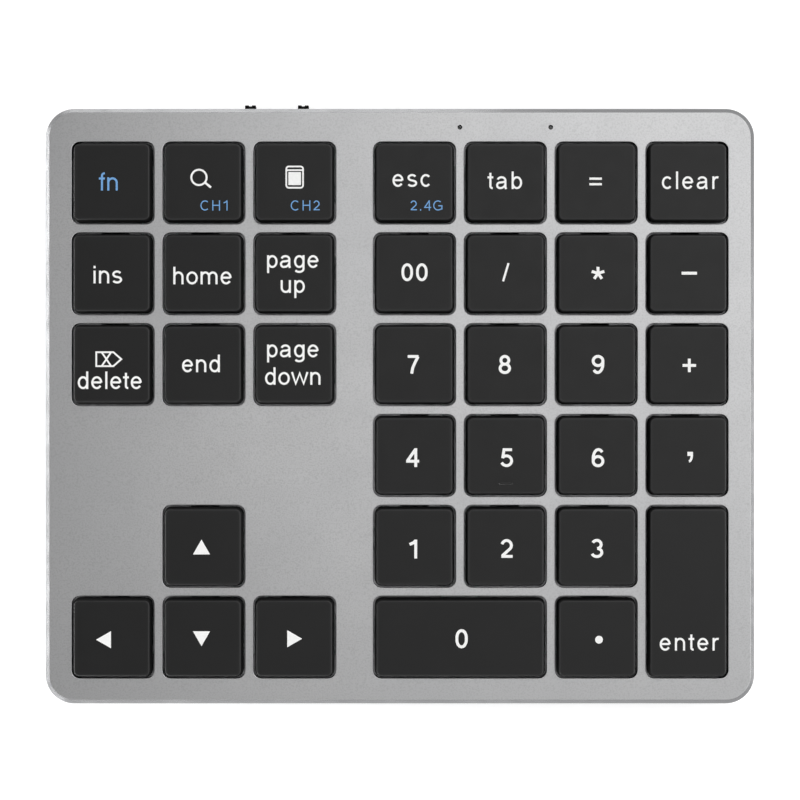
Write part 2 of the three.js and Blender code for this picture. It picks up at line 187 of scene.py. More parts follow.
PRESS_AXIS = joint("key_5_press")["axis"]
DECK_NORMAL = tuple(-part for part in PRESS_AXIS)
TILT = math.atan2(PRESS_AXIS[1], -PRESS_AXIS[2])
COVER_LOW, COVER_HIGH = (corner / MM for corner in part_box("top_cover"))
BODY_WIDTH = COVER_HIGH.x - COVER_LOW.x
# The cover reaches furthest to the rear at its skirt's bottom, and furthest to the front at its chamfer.
BODY_DEPTH = (COVER_HIGH.y - COVER_LOW.y + (SKIRT_BOTTOM + COVER_CHAMFER) * math.sin(TILT)) / math.cos(TILT)
DECK_Y = COVER_HIGH.y - BODY_DEPTH / 2 * math.cos(TILT) + SKIRT_BOTTOM * math.sin(TILT)
DECK_Z = COVER_LOW.z + BODY_DEPTH / 2 * math.sin(TILT) - SKIRT_BOTTOM * math.cos(TILT)
ON_DECK = Matrix.Translation((0, DECK_Y, DECK_Z)) @ Matrix.Rotation(TILT, 4, "X")
ON_LEVEL = Matrix.Translation((0, DECK_Y, 0))
METRES = Matrix.Scale(MM, 4)
DECK = METRES @ ON_DECK
LEVEL = METRES @ ON_LEVEL
FACING_REAR = Matrix.Rotation(QUARTER, 4, "X")  # carries heights below nought to places towards the rear


def key_place(name):
    """Centre and aperture size of a key, in the deck frame."""
    low, high = (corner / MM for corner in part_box("key_" + name))
    middle = (low.y + high.y) / 2 + KEY_BOTTOM * math.sin(TILT) - DECK_Y
    deep = (high.y - low.y) / math.cos(TILT)
    return {
        "u": (low.x + high.x) / 2,
        "v": middle / math.cos(TILT),
        "wide": high.x - low.x + 2 * KEY_GAP,
        "deep": deep + 2 * KEY_GAP,
    }


KEYS = {body[4:]: key_place(body[4:]) for body in sorted(frame["bodies"]) if body.startswith("key_")}


def corner_places(side_inset, end_inset):
    """The four places at some insets from the body's sides and ends, by name."""
    corners = {"front_left": (-1, -1), "front_right": (1, -1), "rear_left": (-1, 1), "rear_right": (1, 1)}
    side, end = BODY_WIDTH / 2 - side_inset, BODY_DEPTH / 2 - end_inset
    return {name: (across * side, along * end) for name, (across, along) in corners.items()}


SCREWS = corner_places(SCREW_INSET, SCREW_INSET)
FEET = corner_places(FOOT_SIDE, FOOT_END)

# ---------------------------------------------------------------- mesh building


def outline(wide, deep, radius, steps=6, centre=(0, 0)):
    """A rounded rectangle, anticlockwise."""
    radius = max(radius, 0.02)
    points = []
    for quarter, (right, rear) in enumerate(((1, 1), (-1, 1), (-1, -1), (1, -1))):
        for step in range(steps + 1):
            angle = QUARTER * (quarter + step / steps)
            x = right * (wide / 2 - radius) + radius * math.cos(angle)
            y = rear * (deep / 2 - radius) + radius * math.sin(angle)
            points.append((centre[0] + x, centre[1] + y))
    return points


def circle(radius, sides=24, centre=(0, 0)):
    turn = 2 * math.pi / sides
    return [
        (centre[0] + radius * math.cos(turn * side), centre[1] + radius * math.sin(turn * side))
        for side in range(sides)
    ]


def raised(points, height):
    return [(x, y, height) for x, y in points]


def flat(ring):
    return [(x, y) for x, y, _ in ring]


def rounded_rings(profile, wide, deep, radius, steps=6, centre=(0, 0)):
    """A ring of a rounded rectangle for each (inset, height)."""
    return [
        raised(outline(wide - 2 * inset, deep - 2 * inset, radius - inset, steps, centre), height)
        for inset, height in profile
    ]


def round_rings(profile, sides=24, centre=(0, 0)):
    """A ring of a circle for each (radius, height)."""
    return [raised(circle(radius, sides, centre), height) for radius, height in profile]


def block_profile(bottom, top, bevel):
    return [(bevel, bottom), (0, bottom + bevel), (0, top - bevel), (bevel, top)]


def arc(x, y, across, up, start, end):
    """Points on an ellipse from one angle to another, in degrees."""
    steps = max(4, round(abs(end - start) / 15))
    angles = [math.radians(start + (end - start) * step / steps) for step in range(steps + 1)]
    return [(x + across * math.cos(angle), y + up * math.sin(angle)) for angle in angles]


def neighbours(path):
    """The points before and after each point of a line, or the point itself at an end."""
    return zip(path[:1] + path[:-1], path[1:] + path[-1:])


def in_scene(thing):
    bpy.context.scene.collection.objects.link(thing)
    return thing


def extent(area):
    """The width, depth and middle of an area given as its left, front, right and rear."""
    left, front, right, rear = area
    return right - left, rear - front, ((left + right) / 2, (front + rear) / 2)


class Shape:
    """Gathers closed surfaces, in millimetres, and makes them one piece."""

    def __init__(self):
        self.points = []
        self.faces = []
        self.finish_of = []
        self.wear_and_highlight_of = []

    def add(self, points, faces, finish=0, wear=None, place=None):
        first = len(self.points)
        vectors = [Vector(point) for point in points]
        self.points += [place @ vector for vector in vectors] if place else vectors
        self.faces += [[first + index for index in face] for face in faces]
        self.finish_of += [finish] * len(faces)
        self.wear_and_highlight_of += wear or [0.0] * len(points)

    def loft(self, rings, finish=0, wear=None, capped=True, place=None):
        """Skins rings that run from the underside outwards, up and in over the top."""
        count = len(rings[0])
        faces = []
        for level in range(len(rings) - 1):
            low = level * count
            for index in range(count):
                after = (index + 1) % count
                faces.append([low + index, low + after, low + count + after, low + count + index])
        if capped:
            faces.append(list(range(count))[::-1])
            faces.append([(len(rings) - 1) * count + index for index in range(count)])
        worn_and_highlit = [amount for amount in wear or [0.0] * len(rings) for _ in range(count)]
        self.add([point for ring in rings for point in ring], faces, finish, worn_and_highlit, place)

    def block(self, low, high, bevel=0.1, radius=None, finish=0, place=None):
        """A box with rounded edges between two corners."""
        wide, deep = high[0] - low[0], high[1] - low[1]
        centre = ((low[0] + high[0]) / 2, (low[1] + high[1]) / 2)
        profile = block_profile(low[2], high[2], bevel)
        self.loft(rounded_rings(profile, wide, deep, radius or bevel * 1.5, 3, centre), finish, place=place)

    def brick(self, middle, wide, deep, bottom, top, bevel=0.1, radius=None, finish=0):
        """A box with rounded edges round a middle."""
        low = (middle[0] - wide / 2, middle[1] - deep / 2, bottom)
        self.block(low, (middle[0] + wide / 2, middle[1] + deep / 2, top), bevel, radius, finish)

    def level_face(self, loops, height, up=True, finish=0):
        """A flat face inside the first loop and outside the others."""
        points = [point for loop in loops for point in loop]
        triangles = tessellate_polygon([[Vector((x, y, 0)) for x, y in loop] for loop in loops])
        faces = []
        for a, b, c in triangles:
            side = (points[b][0] - points[a][0]) * (points[c][1] - points[a][1])
            side -= (points[b][1] - points[a][1]) * (points[c][0] - points[a][0])
            faces.append([a, b, c] if (side > 0) == up else [a, c, b])
        self.add(raised(points, height), faces, finish)

    def slab(self, areas, bottom, top, finish=0, place=None):
        """A flat slab over the union of some anticlockwise areas."""
        corners = [Vector(point) for area in areas for point in area]
        numbers = iter(range(len(corners)))
        loops = [[next(numbers) for _ in area] for area in areas]
        points, _, triangles, _, _, covered_by = delaunay_2d_cdt(corners, [], loops, 1, 1e-4)
        triangles = [triangle for triangle, sources in zip(triangles, covered_by) if sources]
        count = len(points)
        faces = [list(triangle) for triangle in triangles]
        faces += [[count + index for index in reversed(triangle)] for triangle in triangles]
        edges = {(triangle[i], triangle[(i + 1) % 3]) for triangle in triangles for i in range(3)}
        faces += [[b, a, count + a, count + b] for a, b in sorted(edges) if (b, a) not in edges]
        spots = [(point.x, point.y) for point in points]
        self.add(raised(spots, top) + raised(spots, bottom), faces, finish, place=place)

    def panel(self, loops, bottom, top, finish=0):
        """A flat sheet inside the first loop, with the others cut out of it. All run anticlockwise."""
        self.level_face(loops, top, True, finish)
        self.level_face(loops, bottom, False, finish)
        self.loft([raised(loops[0], bottom), raised(loops[0], top)], finish, capped=False)
        for hole in loops[1:]:
            self.loft([raised(hole, top), raised(hole, bottom)], finish, capped=False)

    def turned(self, profile, sides=24, centre=(0, 0), finish=0):
        """A round body from (radius, height) stops."""
        self.loft(round_rings(profile, sides, centre), finish)

    def tube(self, path, radius, sides=12, finish=0, place=None):
        """A round bar along a path, with its ends rounded over."""
        path = [Vector(point) for point in path]
        tangents = [(after - before).normalized() for before, after in neighbours(path)]
        blunt, rounding = 0.55, 0.35  # shares of the radius
        stations = [(path[0], tangents[0], blunt)]
        stations += [(point, tangent, 1.0) for point, tangent in zip(path, tangents)]
        stations.append((path[-1], tangents[-1], blunt))
        stations[1] = (path[0] + tangents[0] * radius * rounding, tangents[0], 1.0)
        stations[-2] = (path[-1] - tangents[-1] * radius * rounding, tangents[-1], 1.0)
        across = tangents[0].orthogonal().normalized()
        rings = []
        for point, tangent, share in stations:
            across = (across - tangent * across.dot(tangent)).normalized()
            other = tangent.cross(across)
            ring = [(across * x + other * y) * radius * share for x, y in circle(1, sides)]
            rings.append([tuple(point + spoke) for spoke in ring])
        self.loft(rings, finish, place=place)

    def mesh(self, name, placed, finishes, sharp):
        """A Blender mesh in metres, with shared points merged and edges over the sharp angle kept crisp."""
        data = bpy.data.meshes.new(name)
        data.from_pydata(self.points, [], self.faces)
        for finish in finishes:
            data.materials.append(finish)
        data.polygons.foreach_set("material_index", self.finish_of)
        # Each point's amount of the lighter edge tint, part rubbed edge and part painted highlight; only the
        # keycaps set it.
        wear = data.attributes.new("wear", "FLOAT", "POINT")
        wear.data.foreach_set("value", self.wear_and_highlight_of)
        work = bmesh.new()
        work.from_mesh(data)
        bmesh.ops.remove_doubles(work, verts=work.verts, dist=1e-4)
        bmesh.ops.transform(work, matrix=placed, verts=work.verts)
        work.to_mesh(data)
        work.free()
        data.shade_smooth()
        data.set_sharp_from_angle(angle=math.radians(sharp))
        return data

    def piece(self, name, placed, finishes, replaces=(), body="base", sharp=32):
        return put(name, self.mesh(name, placed, finishes, sharp), body, replaces)


def carved(name, first, changes, sharp):
    """A mesh in metres, after others in millimetres are added to or cut out of the first in turn."""
    work = in_scene(bpy.data.objects.new(name + "_work", first))
    tools = []
    for operation, mesh in changes:
        tool = in_scene(bpy.data.objects.new(name + "_tool", mesh))
        tools.append(tool)
        change = work.modifiers.new(operation, "BOOLEAN")
        change.operation = operation
        change.object = tool
        change.solver = "EXACT"
    graph = bpy.context.evaluated_depsgraph_get()
    data = bpy.data.meshes.new_from_object(work.evaluated_get(graph))
    for thing in (work, *tools):
        bpy.data.objects.remove(thing)
    data.name = name
    data.transform(METRES)
    data.shade_smooth()
    data.set_sharp_from_angle(angle=math.radians(sharp))
    return data


def put(name, data, body, replaces=()):
    """Adds a finished mesh to the scene, riding on a body."""
    thing = in_scene(bpy.data.objects.new(name, data))
    if replaces:
        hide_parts(*replaces)
    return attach(thing, body)


# ---------------------------------------------------------------- materials


def mapped(nodes, links, value, start, end, low, high):
    """A node that maps start to end onto low to high."""
    node = nodes.new("ShaderNodeMapRange")
    for socket, number in zip(("From Min", "From Max", "To Min", "To Max"), (start, end, low, high)):
        node.inputs[socket].default_value = number
    links.new(value, node.inputs["Value"])
    return node


class Finish:
    """A principled material with textures in the piece's own space. Texture sizes are in millimetres."""

    def __init__(self, name, colour, roughness, **sockets):
        self.material = bpy.data.materials.new(name)
        self.material.use_nodes = True
        self.nodes = self.material.node_tree.nodes
        self.links = self.material.node_tree.links
        self.shader = self.nodes["Principled BSDF"]
        self.place = self.nodes.new("ShaderNodeTexCoord")
        self.shader.inputs["Base Color"].default_value = (*colour, 1)
        self.shader.inputs["Roughness"].default_value = roughness
        for socket, value in sockets.items():
            self.shader.inputs[socket.replace("_", " ")].default_value = value

    def noise(self, size, detail, stretch=(1, 1, 1)):
        """Cloudy noise whose features are about size across."""
        mapping = self.nodes.new("ShaderNodeMapping")
        mapping.inputs["Scale"].default_value = [1 / (size * MM * part) for part in stretch]
        texture = self.nodes.new("ShaderNodeTexNoise")
        texture.inputs["Scale"].default_value = 1.0
        texture.inputs["Detail"].default_value = detail
        self.links.new(self.place.outputs["Object"], mapping.inputs["Vector"])
        self.links.new(mapping.outputs["Vector"], texture.inputs["Vector"])
        return texture.outputs["Fac"]

    def spread(self, value, low, high, start=0.3, end=0.7):
        """Maps a texture's start to end onto low to high."""
        return mapped(self.nodes, self.links, value, start, end, low, high).outputs["Result"]

    def rough(self, value, low, high):
        self.links.new(self.spread(value, low, high), self.shader.inputs["Roughness"])

    def tint(self, value, other, start=0.3, end=0.7):
        """Blends the colour towards another where the texture is high."""
        mix = self.nodes.new("ShaderNodeMix")
        mix.data_type = "RGBA"
        before = self.shader.inputs["Base Color"]
        if before.is_linked:
            self.links.new(before.links[0].from_socket, mix.inputs["A"])
        else:
            mix.inputs["A"].default_value = before.default_value
        mix.inputs["B"].default_value = (*other, 1)
        self.links.new(self.spread(value, 0, 1, start, end), mix.inputs["Factor"])
        self.links.new(mix.outputs["Result"], before)

    def relief(self, value, depth):
        """Bumps the surface by depth where the texture is high."""
        bump = self.nodes.new("ShaderNodeBump")
        bump.inputs["Strength"].default_value = 1.0
        bump.inputs["Distance"].default_value = depth * MM
        self.links.new(value, bump.inputs["Height"])
        self.links.new(bump.outputs["Normal"], self.shader.inputs["Normal"])

    def worn_and_highlit(self, other):
        """Blends the colour towards another where the mesh's per-point tint amount is high; the tint is part
        rubbed edge and part painted highlight.
        """
        attribute = self.nodes.new("ShaderNodeAttribute")
        attribute.attribute_name = "wear"
        self.tint(attribute.outputs["Fac"], other, 0, 1)


def layered(name, colour, roughness, uneven, gloss, grain, depth, shades=(), worn_and_highlit=None, **sockets):
    """A finish whose shades, gloss and grain each follow a noise, given by its size and detail."""
    finish = Finish(name, colour, roughness, **sockets)
    for shade, noise, *limits in shades:
        finish.tint(finish.noise(*noise), shade, *limits)
    # A lighter tint where the mesh says, part rubbed edge and part painted highlight.
    if worn_and_highlit:
        finish.worn_and_highlit(worn_and_highlit)
    finish.rough(finish.noise(*gloss), roughness - uneven, roughness + uneven)
    finish.relief(finish.noise(*grain), depth)
    return finish.material


def made(name, colour, shade, roughness, grain, depth, metallic=0.0, stretch=(1, 1, 1), **sockets):
    """A finish with patches of a second shade, uneven gloss, and a grain of some size and depth."""
    noises = {"gloss": (grain * 6, 5), "grain": (grain, 3, stretch), "shades": [(shade, (grain * 12, 4))]}
    return layered(name, colour, roughness, 0.07, depth=depth, Metallic=metallic, **noises, **sockets)


def ink(name, colour, shade):
    return layered(name, colour, 0.5, 0.08, (0.4, 3), (0.1, 2), 0.002, [(shade, (0.5, 3))])


def key_finishes():
    """The tops of the keycaps, whose top edges take a lighter tint that is part rubbed edge and part painted
    highlight, then their sides, which are matt and painted darker, with little sheen, as painted shade from
    the openings round them.
    """
    # The lighter tint on the caps' top edges is part rubbed edge and part painted highlight.
    top = layered(
        "key_plastic", (0.0022, 0.0022, 0.0023), 0.4, 0.04,
        gloss=(3.5, 5), grain=(0.16, 2), depth=0.006,
        shades=[((0.0034, 0.0034, 0.0035), (7, 3))], worn_and_highlit=(0.014, 0.014, 0.0145), Specular_IOR_Level=0.36,
    )
    # Painted shade: the sides and insides of the caps get a near-black colour and a low specular level that
    # stand in for the shade in the openings.
    side = layered(
        "key_side", (0.0015, 0.0015, 0.0016), 0.7, 0.08,
        gloss=(2, 4), grain=(0.12, 2), depth=0.005,
        shades=[((0.0024, 0.0024, 0.0025), (5, 3))], Specular_IOR_Level=0.1,
    )
    return [top, side]


def cover_finishes():
    """Anodised faces, the cut chamfer, the walls of the openings, painted near-black as painted shade, and
    the thin broken edges round them.
    """
    anodised = layered(
        "anodised_aluminium", (0.505, 0.505, 0.508), 0.31, 0.02,
        gloss=(9, 5), grain=(0.28, 2), depth=0.013, Metallic=1.0,
        shades=[((0.485, 0.488, 0.495), (30, 4)), ((0.43, 0.43, 0.435), (0.32, 1), 0.45, 0.7)],
    )
    cut = layered(
        "cut_aluminium", (0.24, 0.242, 0.246), 0.205, 0.035,
        gloss=(2.5, 4), grain=(0.4, 2), depth=0.0002, Metallic=1.0,
        shades=[((0.21, 0.212, 0.216), (15, 4))],
    )
    # Painted shade: the walls of the openings get a near-black colour and little sheen that stand in for the
    # shade in the gaps round the keys.
    wall = layered(
        "dark_wall", (0.008, 0.008, 0.0085), 0.6, 0.1,
        gloss=(1.2, 3), grain=(0.15, 2), depth=0.003, Specular_IOR_Level=0.15,
    )
    broken = layered(
        "bright_edge", (0.8, 0.8, 0.81), 0.45, 0.05,
        gloss=(1.5, 4), grain=(0.3, 2), depth=0.0004, Metallic=1.0,
        shades=[((0.74, 0.74, 0.75), (6, 4))],
    )
    return [anodised, cut, wall, broken]


def pale_floor():
    """A white diffusing sheet, lit from behind round the keypad."""
    finish = Finish("pale_floor", (0.92, 0.92, 0.92), 0.85, Specular_IOR_Level=0.1)
    finish.shader.inputs["Emission Color"].default_value = (1, 1, 1, 1)
    distance = finish.nodes.new("ShaderNodeVectorMath")
    distance.operation = "LENGTH"
    finish.links.new(finish.place.outputs["Object"], distance.inputs[0])
    glow = finish.spread(distance.outputs["Value"], 0.3, 0.05, LIT_FLOOR[0] * MM, LIT_FLOOR[1] * MM)
    finish.links.new(glow, finish.shader.inputs["Emission Strength"])
    finish.rough(finish.noise(40, 3), 0.8, 0.9)
    return finish.material


# ---------------------------------------------------------------- camera, light and floor


def camera():
    """Looks square at the deck, from above."""
    data = bpy.data.cameras.new("camera")
    data.sensor_width = SENSOR
    data.lens = SENSOR * CAMERA_HEIGHT / FRAME_WIDTH
    data.clip_start = 0.02
    data.clip_end = 20
    view = in_scene(bpy.data.objects.new("camera", data))
    view.location = DECK @ Vector((0, CAMERA_AIM, 0)) + Vector(DECK_NORMAL) * CAMERA_HEIGHT * MM
    view.rotation_euler = (TILT, 0, 0)
    bpy.context.scene.camera = view


def softbox(name, place, size, power):
    """A rectangular light that faces the keypad."""
    data = bpy.data.lights.new(name, "AREA")
    data.shape = "RECTANGLE"
    data.size, data.size_y = size
    data.energy = power
    lamp = in_scene(bpy.data.objects.new(name, data))
    lamp.location = place
    lamp.rotation_euler = (-Vector(place)).to_track_quat("-Z", "Y").to_euler()


def studio():
    """A pale tent whose ceiling is dimmest to the left and front, with low strips that light the chamfers."""
    world = bpy.data.worlds.new("studio")
    bpy.context.scene.world = world
    world.use_nodes = True
    nodes, links = world.node_tree.nodes, world.node_tree.links
    background = nodes["Background"]
    background.inputs["Color"].default_value = (1, 1, 1, 1)
    direction = nodes.new("ShaderNodeTexCoord")

    def ramp(toward, start, low, end, high):
        """Goes smoothly from low to high as the direction turns towards a side."""
        side = nodes.new("ShaderNodeVectorMath")
        side.operation = "DOT_PRODUCT"
        side.inputs[1].default_value = toward
        links.new(direction.outputs["Generated"], side.inputs[0])
        node = mapped(nodes, links, side.outputs["Value"], start, end, low, high)
        node.interpolation_type = "SMOOTHSTEP"
        return node.outputs["Result"]

    across = ramp((0.96, -0.28, 0), -0.3, 0.0, -0.01, 1.61)
    forward = ramp((0, 1, 0), -0.46, 0.2, 0.08, 0.98)
    ceiling = nodes.new("ShaderNodeMath")
    ceiling.operation = "MULTIPLY"
    links.new(across, ceiling.inputs[0])
    links.new(forward, ceiling.inputs[1])
    overhead = ramp((0, 0, 1), 0.5, 0.0, 0.82, 1.0)
    strength = mapped(nodes, links, overhead, 0, 1, WALL_LIGHT, 1)
    links.new(ceiling.outputs["Value"], strength.inputs["To Max"])
    links.new(strength.outputs["Result"], background.inputs["Strength"])
    softbox("left_strip", (-0.3, 0.0, 0.02), (0.3, 0.04), 0.95)
    softbox("corner_strip", (-0.21, -0.21, 0.02), (0.12, 0.04), 0.36)
    softbox("front_strip", (-0.09, -0.3, 0.02), (0.34, 0.04), 0.34)
    softbox("rear_strip", (-0.08, 0.3, 0.02), (0.24, 0.04), 0.135)
    softbox("right_strip", (0.3, -0.06, 0.02), (0.22, 0.04), 0.27)
    softbox("right_box", (0.95, -0.1, 0.45), (1.3, 0.8), 4)
    softbox("rear_box", (0.5, 1.0, 0.38), (1.3, 0.7), 3)
    bpy.context.scene.view_settings.view_transform = "Standard"


def floor():
    ground = Shape()
    ground.loft(rounded_rings([(0, -20), (0, 0)], FLOOR_SIZE, FLOOR_SIZE, 200))
    in_scene(bpy.data.objects.new("floor", ground.mesh("floor", METRES, [pale_floor()], 30)))


# ---------------------------------------------------------------- keycaps

KEY_FINISHES = key_finishes()


def keycap_profiles():
    """Insets, heights and edge tint, part rubbed edge and part painted highlight, from the hollow's ceiling
    to the top of the sides, then on over the top.
    """
    lean = KEY_DRAFT / (KEY_TOP - KEY_BOTTOM)
    inside = [
        (KEY_WALL + 0.3, KEY_CEILING, 0),
        (KEY_WALL + 0.09, KEY_CEILING - 0.09, 0),
        (KEY_WALL, KEY_CEILING - 0.3, 0),
        (KEY_WALL, KEY_BOTTOM + 0.05, 0),
        (KEY_WALL - 0.05, KEY_BOTTOM, 0),
    ]
    rim = [(0.08, KEY_BOTTOM, 0), (0.0, KEY_BOTTOM + 0.08, 0.2)]
    start = math.atan(lean)
    middle_height = KEY_TOP - KEY_FILLET
    middle_inset = lean * (middle_height - KEY_BOTTOM) + KEY_FILLET * (1 + math.sin(start) * 0.15)
    rounding = []
    for step in range(7):
        angle = start + (QUARTER - start) * step / 6
        inset = middle_inset - KEY_FILLET * math.cos(angle)
        # The lighter tint, part painted highlight, is strongest at the top of the rounded edge.
        rounding.append((inset, middle_height + KEY_FILLET * math.sin(angle), math.sin(angle) ** 2))
    top = [(middle_inset + 0.12, KEY_TOP, 0.25), (middle_inset + 0.5, KEY_TOP, 0)]
    return inside + rim + rounding[:4], rounding[3:] + top


def keycap(name, key):
    """A hollow cap with four hooks inside, and a homing bar on the 5."""
    wide, deep = key["wide"] - 2 * KEY_GAP, key["deep"] - 2 * KEY_GAP
    u, v = key["u"], key["v"]
    cap = Shape()
    # The sides and inside take the second finish, which is painted shade; the top takes the first.
    for finish, profile in zip((1, 0), keycap_profiles()):
        stops = [(inset, height) for inset, height, _ in profile]
        rings = rounded_rings(stops, wide, deep, KEY_RADIUS, 6, (u, v))
        cap.loft(rings, finish, [wear for _, _, wear in profile], capped=False)
        end = -1 if finish == 0 else 0
        cap.level_face([flat(rings[end])], rings[end][0][2], finish == 0, finish)
    for side in (-1, 1):
        for end in (-1, 1):
            add_clip(cap, u + side * CLIP_OFFSET, v + end * CLIP_OFFSET, end)
    if name == "5":
        bar_wide, bar_deep, bar_tall, forward = 2.9, 0.5, 0.25, 5.8
        heights = (KEY_CEILING + 0.3, KEY_TOP + bar_tall)
        cap.brick((u, v - forward), bar_wide, bar_deep, *heights, 0.16, 0.24)
    cap.piece("keycap_" + name, DECK, KEY_FINISHES, ["key_" + name], "key_" + name)


def add_clip(cap, u, v, end):
    """A hook under the key's ceiling that the scissor's pin turns in."""
    wide, thick, reach, bottom, top = 1.8, 0.5, 0.55, 0.1, 0.4
    cap.brick((u, v), wide, thick, bottom, KEY_CEILING + 0.2, 0.08)
    cap.brick((u, v + end * reach / 2), wide, reach, bottom, top, 0.08)


# ---------------------------------------------------------------- legends

# Letters are drawn with a round-cornered pen, in thousandths of the type size, from the baseline up. Each has
# its advance and its strokes.
TALL_STEM = [(112, 0), (112, 716)]
SHORT_STEM = [(112, 0), (112, 519)]
BOWL = arc(282, 259, 174, 221, 0, 360)
ARCH = arc(278, 305, 166, 176, 170, 0) + [(444, 0)]
BAR = [(18, 475), (252, 475)]
GLYPHS = {
    "a": (556, [
        arc(262, 352, 158, 129, 165, 0) + [(420, 110), (428, 50), (450, 0)],
        arc(200, 153, 118, 115, 80, 265) + [(290, 52), (375, 105), (420, 190)],
        [(215, 266), (330, 282), (420, 312)],
    ]),
    "b": (556, [TALL_STEM, BOWL]),
    "c": (500, [arc(262, 259, 178, 221, 42, 318)]),
    "d": (556, [[(444, 0), (444, 716)], arc(274, 259, 174, 221, 0, 360)]),
    "e": (556, [[(100, 270), (456, 270)], arc(278, 259, 182, 221, 0, 325)]),
    "f": (278, [arc(235, 580, 95, 98, 80, 180) + [(140, 0)], BAR]),
    "g": (556, [
        arc(272, 259, 172, 221, 0, 360),
        [(444, 519), (444, -40)] + arc(268, -40, 176, 122, 0, -150),
    ]),
    "h": (556, [TALL_STEM, ARCH]),
    "i": (222, [SHORT_STEM, [(112, 616), (112, 716)]]),
    "l": (222, [TALL_STEM]),
    "m": (833, [
        SHORT_STEM,
        arc(264, 320, 152, 161, 165, 0) + [(416, 0)],
        arc(568, 320, 152, 161, 165, 0) + [(720, 0)],
    ]),
    "n": (556, [SHORT_STEM, ARCH]),
    "o": (556, [arc(278, 259, 192, 221, 0, 360)]),
    "p": (556, [[(112, -210), (112, 519)], BOWL]),
    "r": (333, [SHORT_STEM, arc(270, 290, 158, 190, 175, 72)]),
    "s": (500, [arc(250, 372, 148, 109, 25, 250) + arc(250, 147, 165, 109, 70, -155)]),
    "t": (278, [[(135, 660)] + arc(215, 120, 80, 80, 180, 280), BAR]),
    "u": (556, [[(112, 519)] + arc(278, 214, 166, 176, 180, 350), [(444, 519), (444, 0)]]),
    "w": (722, [[(45, 519), (200, 45), (361, 470), (522, 45), (677, 519)]]),
    "C": (722, [arc(372, 358, 285, 318, 48, 312)]),
    "G": (778, [arc(385, 358, 297, 318, 50, 305) + [(660, 110), (660, 335), (400, 335)]]),
    "H": (722, [[(128, 0), (128, 716)], [(594, 0), (594, 716)], [(128, 370), (594, 370)]]),
    ".": (278, [[(140, 0), (140, 105)]]),
    "0": (556, [arc(278, 400, 180, 268, 0, 180) + arc(278, 316, 180, 268, 180, 360) + [(458, 400)]]),
    "1": (556, [[(330, 0), (330, 716)], [(335, 690), (245, 600), (95, 535)]]),
    "2": (556, [arc(272, 478, 180, 190, 165, -35) + [(110, 85)], [(70, 60), (500, 60)]]),
    "3": (556, [arc(262, 510, 165, 158, 155, -85), arc(262, 205, 190, 157, 85, -160)]),
    "4": (556, [[(400, 0), (400, 716)], [(385, 670), (75, 225)], [(35, 222), (530, 222)]]),
    "5": (556, [[(480, 656), (175, 656), (122, 330)], arc(268, 235, 195, 187, 140, -158)]),
    "6": (556, [arc(284, 225, 186, 177, 0, 360), arc(300, 330, 202, 338, 190, 45)]),
    "7": (556, [[(65, 656), (478, 656)], [(462, 650), (345, 430), (255, 220), (215, 0)]]),
    "8": (556, [arc(278, 517, 150, 151, 0, 360), arc(278, 210, 182, 162, 0, 360)]),
    "9": (556, [arc(272, 491, 186, 177, 0, 360), arc(256, 386, 202, 338, 10, -135)]),
    "/": (278, [[(30, -12), (250, 728)]]),
    "=": (584, [[(55, 240), (530, 240)], [(55, 450), (530, 450)]]),
    "-": (660, [[(30, 330), (617, 330)]]),
    "+": (584, [[(35, 345), (549, 345)], [(292, 88), (292, 602)]]),
    "*": (560, [[(280, 400), arc(280, 400, 252, 252, turn, turn)[0]] for turn in range(90, 450, 72)]),
}


def ribbon(points, pen):
    """The quads that a pen covers along a line. A line that ends where it starts is closed."""
    points = [Vector(point) for point in points]
    closed = (points[0] - points[-1]).length < 1e-3 * pen
    if closed:
        points.pop()
    count = len(points)
    left, right = [], []
    for i, point in enumerate(points):
        before = points[i - 1] if closed or i else point
        after = points[(i + 1) % count] if closed or i < count - 1 else point
        arriving = (point - before).normalized() if before != point else (after - point).normalized()
        leaving = (after - point).normalized() if after != point else arriving
        along = (arriving + leaving).normalized()
        normal = Vector((-along.y, along.x))
        mitre = min(1 / max(normal.dot(Vector((-leaving.y, leaving.x))), 0.1), 1.9)
        left.append(point + normal * pen / 2 * mitre)
        right.append(point - normal * pen / 2 * mitre)
    ends = range(count if closed else count - 1)
    return [[right[i], right[(i + 1) % count], left[(i + 1) % count], left[i]] for i in ends]


def centred(areas):
    """The same areas, with the middle of their box on the origin."""
    across = [point[0] for area in areas for point in area]
    up = [point[1] for area in areas for point in area]
    middle = ((min(across) + max(across)) / 2, (min(up) + max(up)) / 2)
    return [[(x - middle[0], y - middle[1]) for x, y in area] for area in areas]


def lettering(text, size, pen, tracking=0.0):
    areas = []
    cursor = 0.0
    for letter in text:
        advance, strokes = GLYPHS[letter]
        for stroke in strokes:
            areas += ribbon([(cursor + x * size / 1000, y * size / 1000) for x, y in stroke], pen)
        cursor += advance * size / 1000 + tracking
    return centred(areas)


def word(text):
    return lettering(text, 5.1, 0.44)


def spaced_word(text):
    return lettering(text, 5.1, 0.43, 0.25)


def digit(text):
    return lettering(text, 5.45, 0.6)


def small_word(text):
    return lettering(text, 2.98, 0.22, 0.2)


def comma_mark():
    head = [(-0.5, 0.35), (0.65, 0.35), (0.65, 1.2), (-0.5, 1.2)]
    hook = ribbon(arc(-0.25, 0.55, 0.66, 1.35, 0, -85), 0.5)
    return centred([head] + hook)


def arrow_mark(turn):
    """A solid triangle that points to the right, turned by some quarters."""
    corners = [(1.55, 0), (-1.55, 1.78), (-1.55, -1.78)]
    spin = Matrix.Rotation(turn * QUARTER, 2)
    return [[tuple(spin @ Vector(corner)) for corner in corners]]


def search_mark():
    lens = ribbon(arc(0, 0, 1.6, 1.6, 0, 360), 0.4)
    handle = ribbon([(1.15, -1.0), (2.5, -2.1)], 0.46)
    return centred(lens + handle)


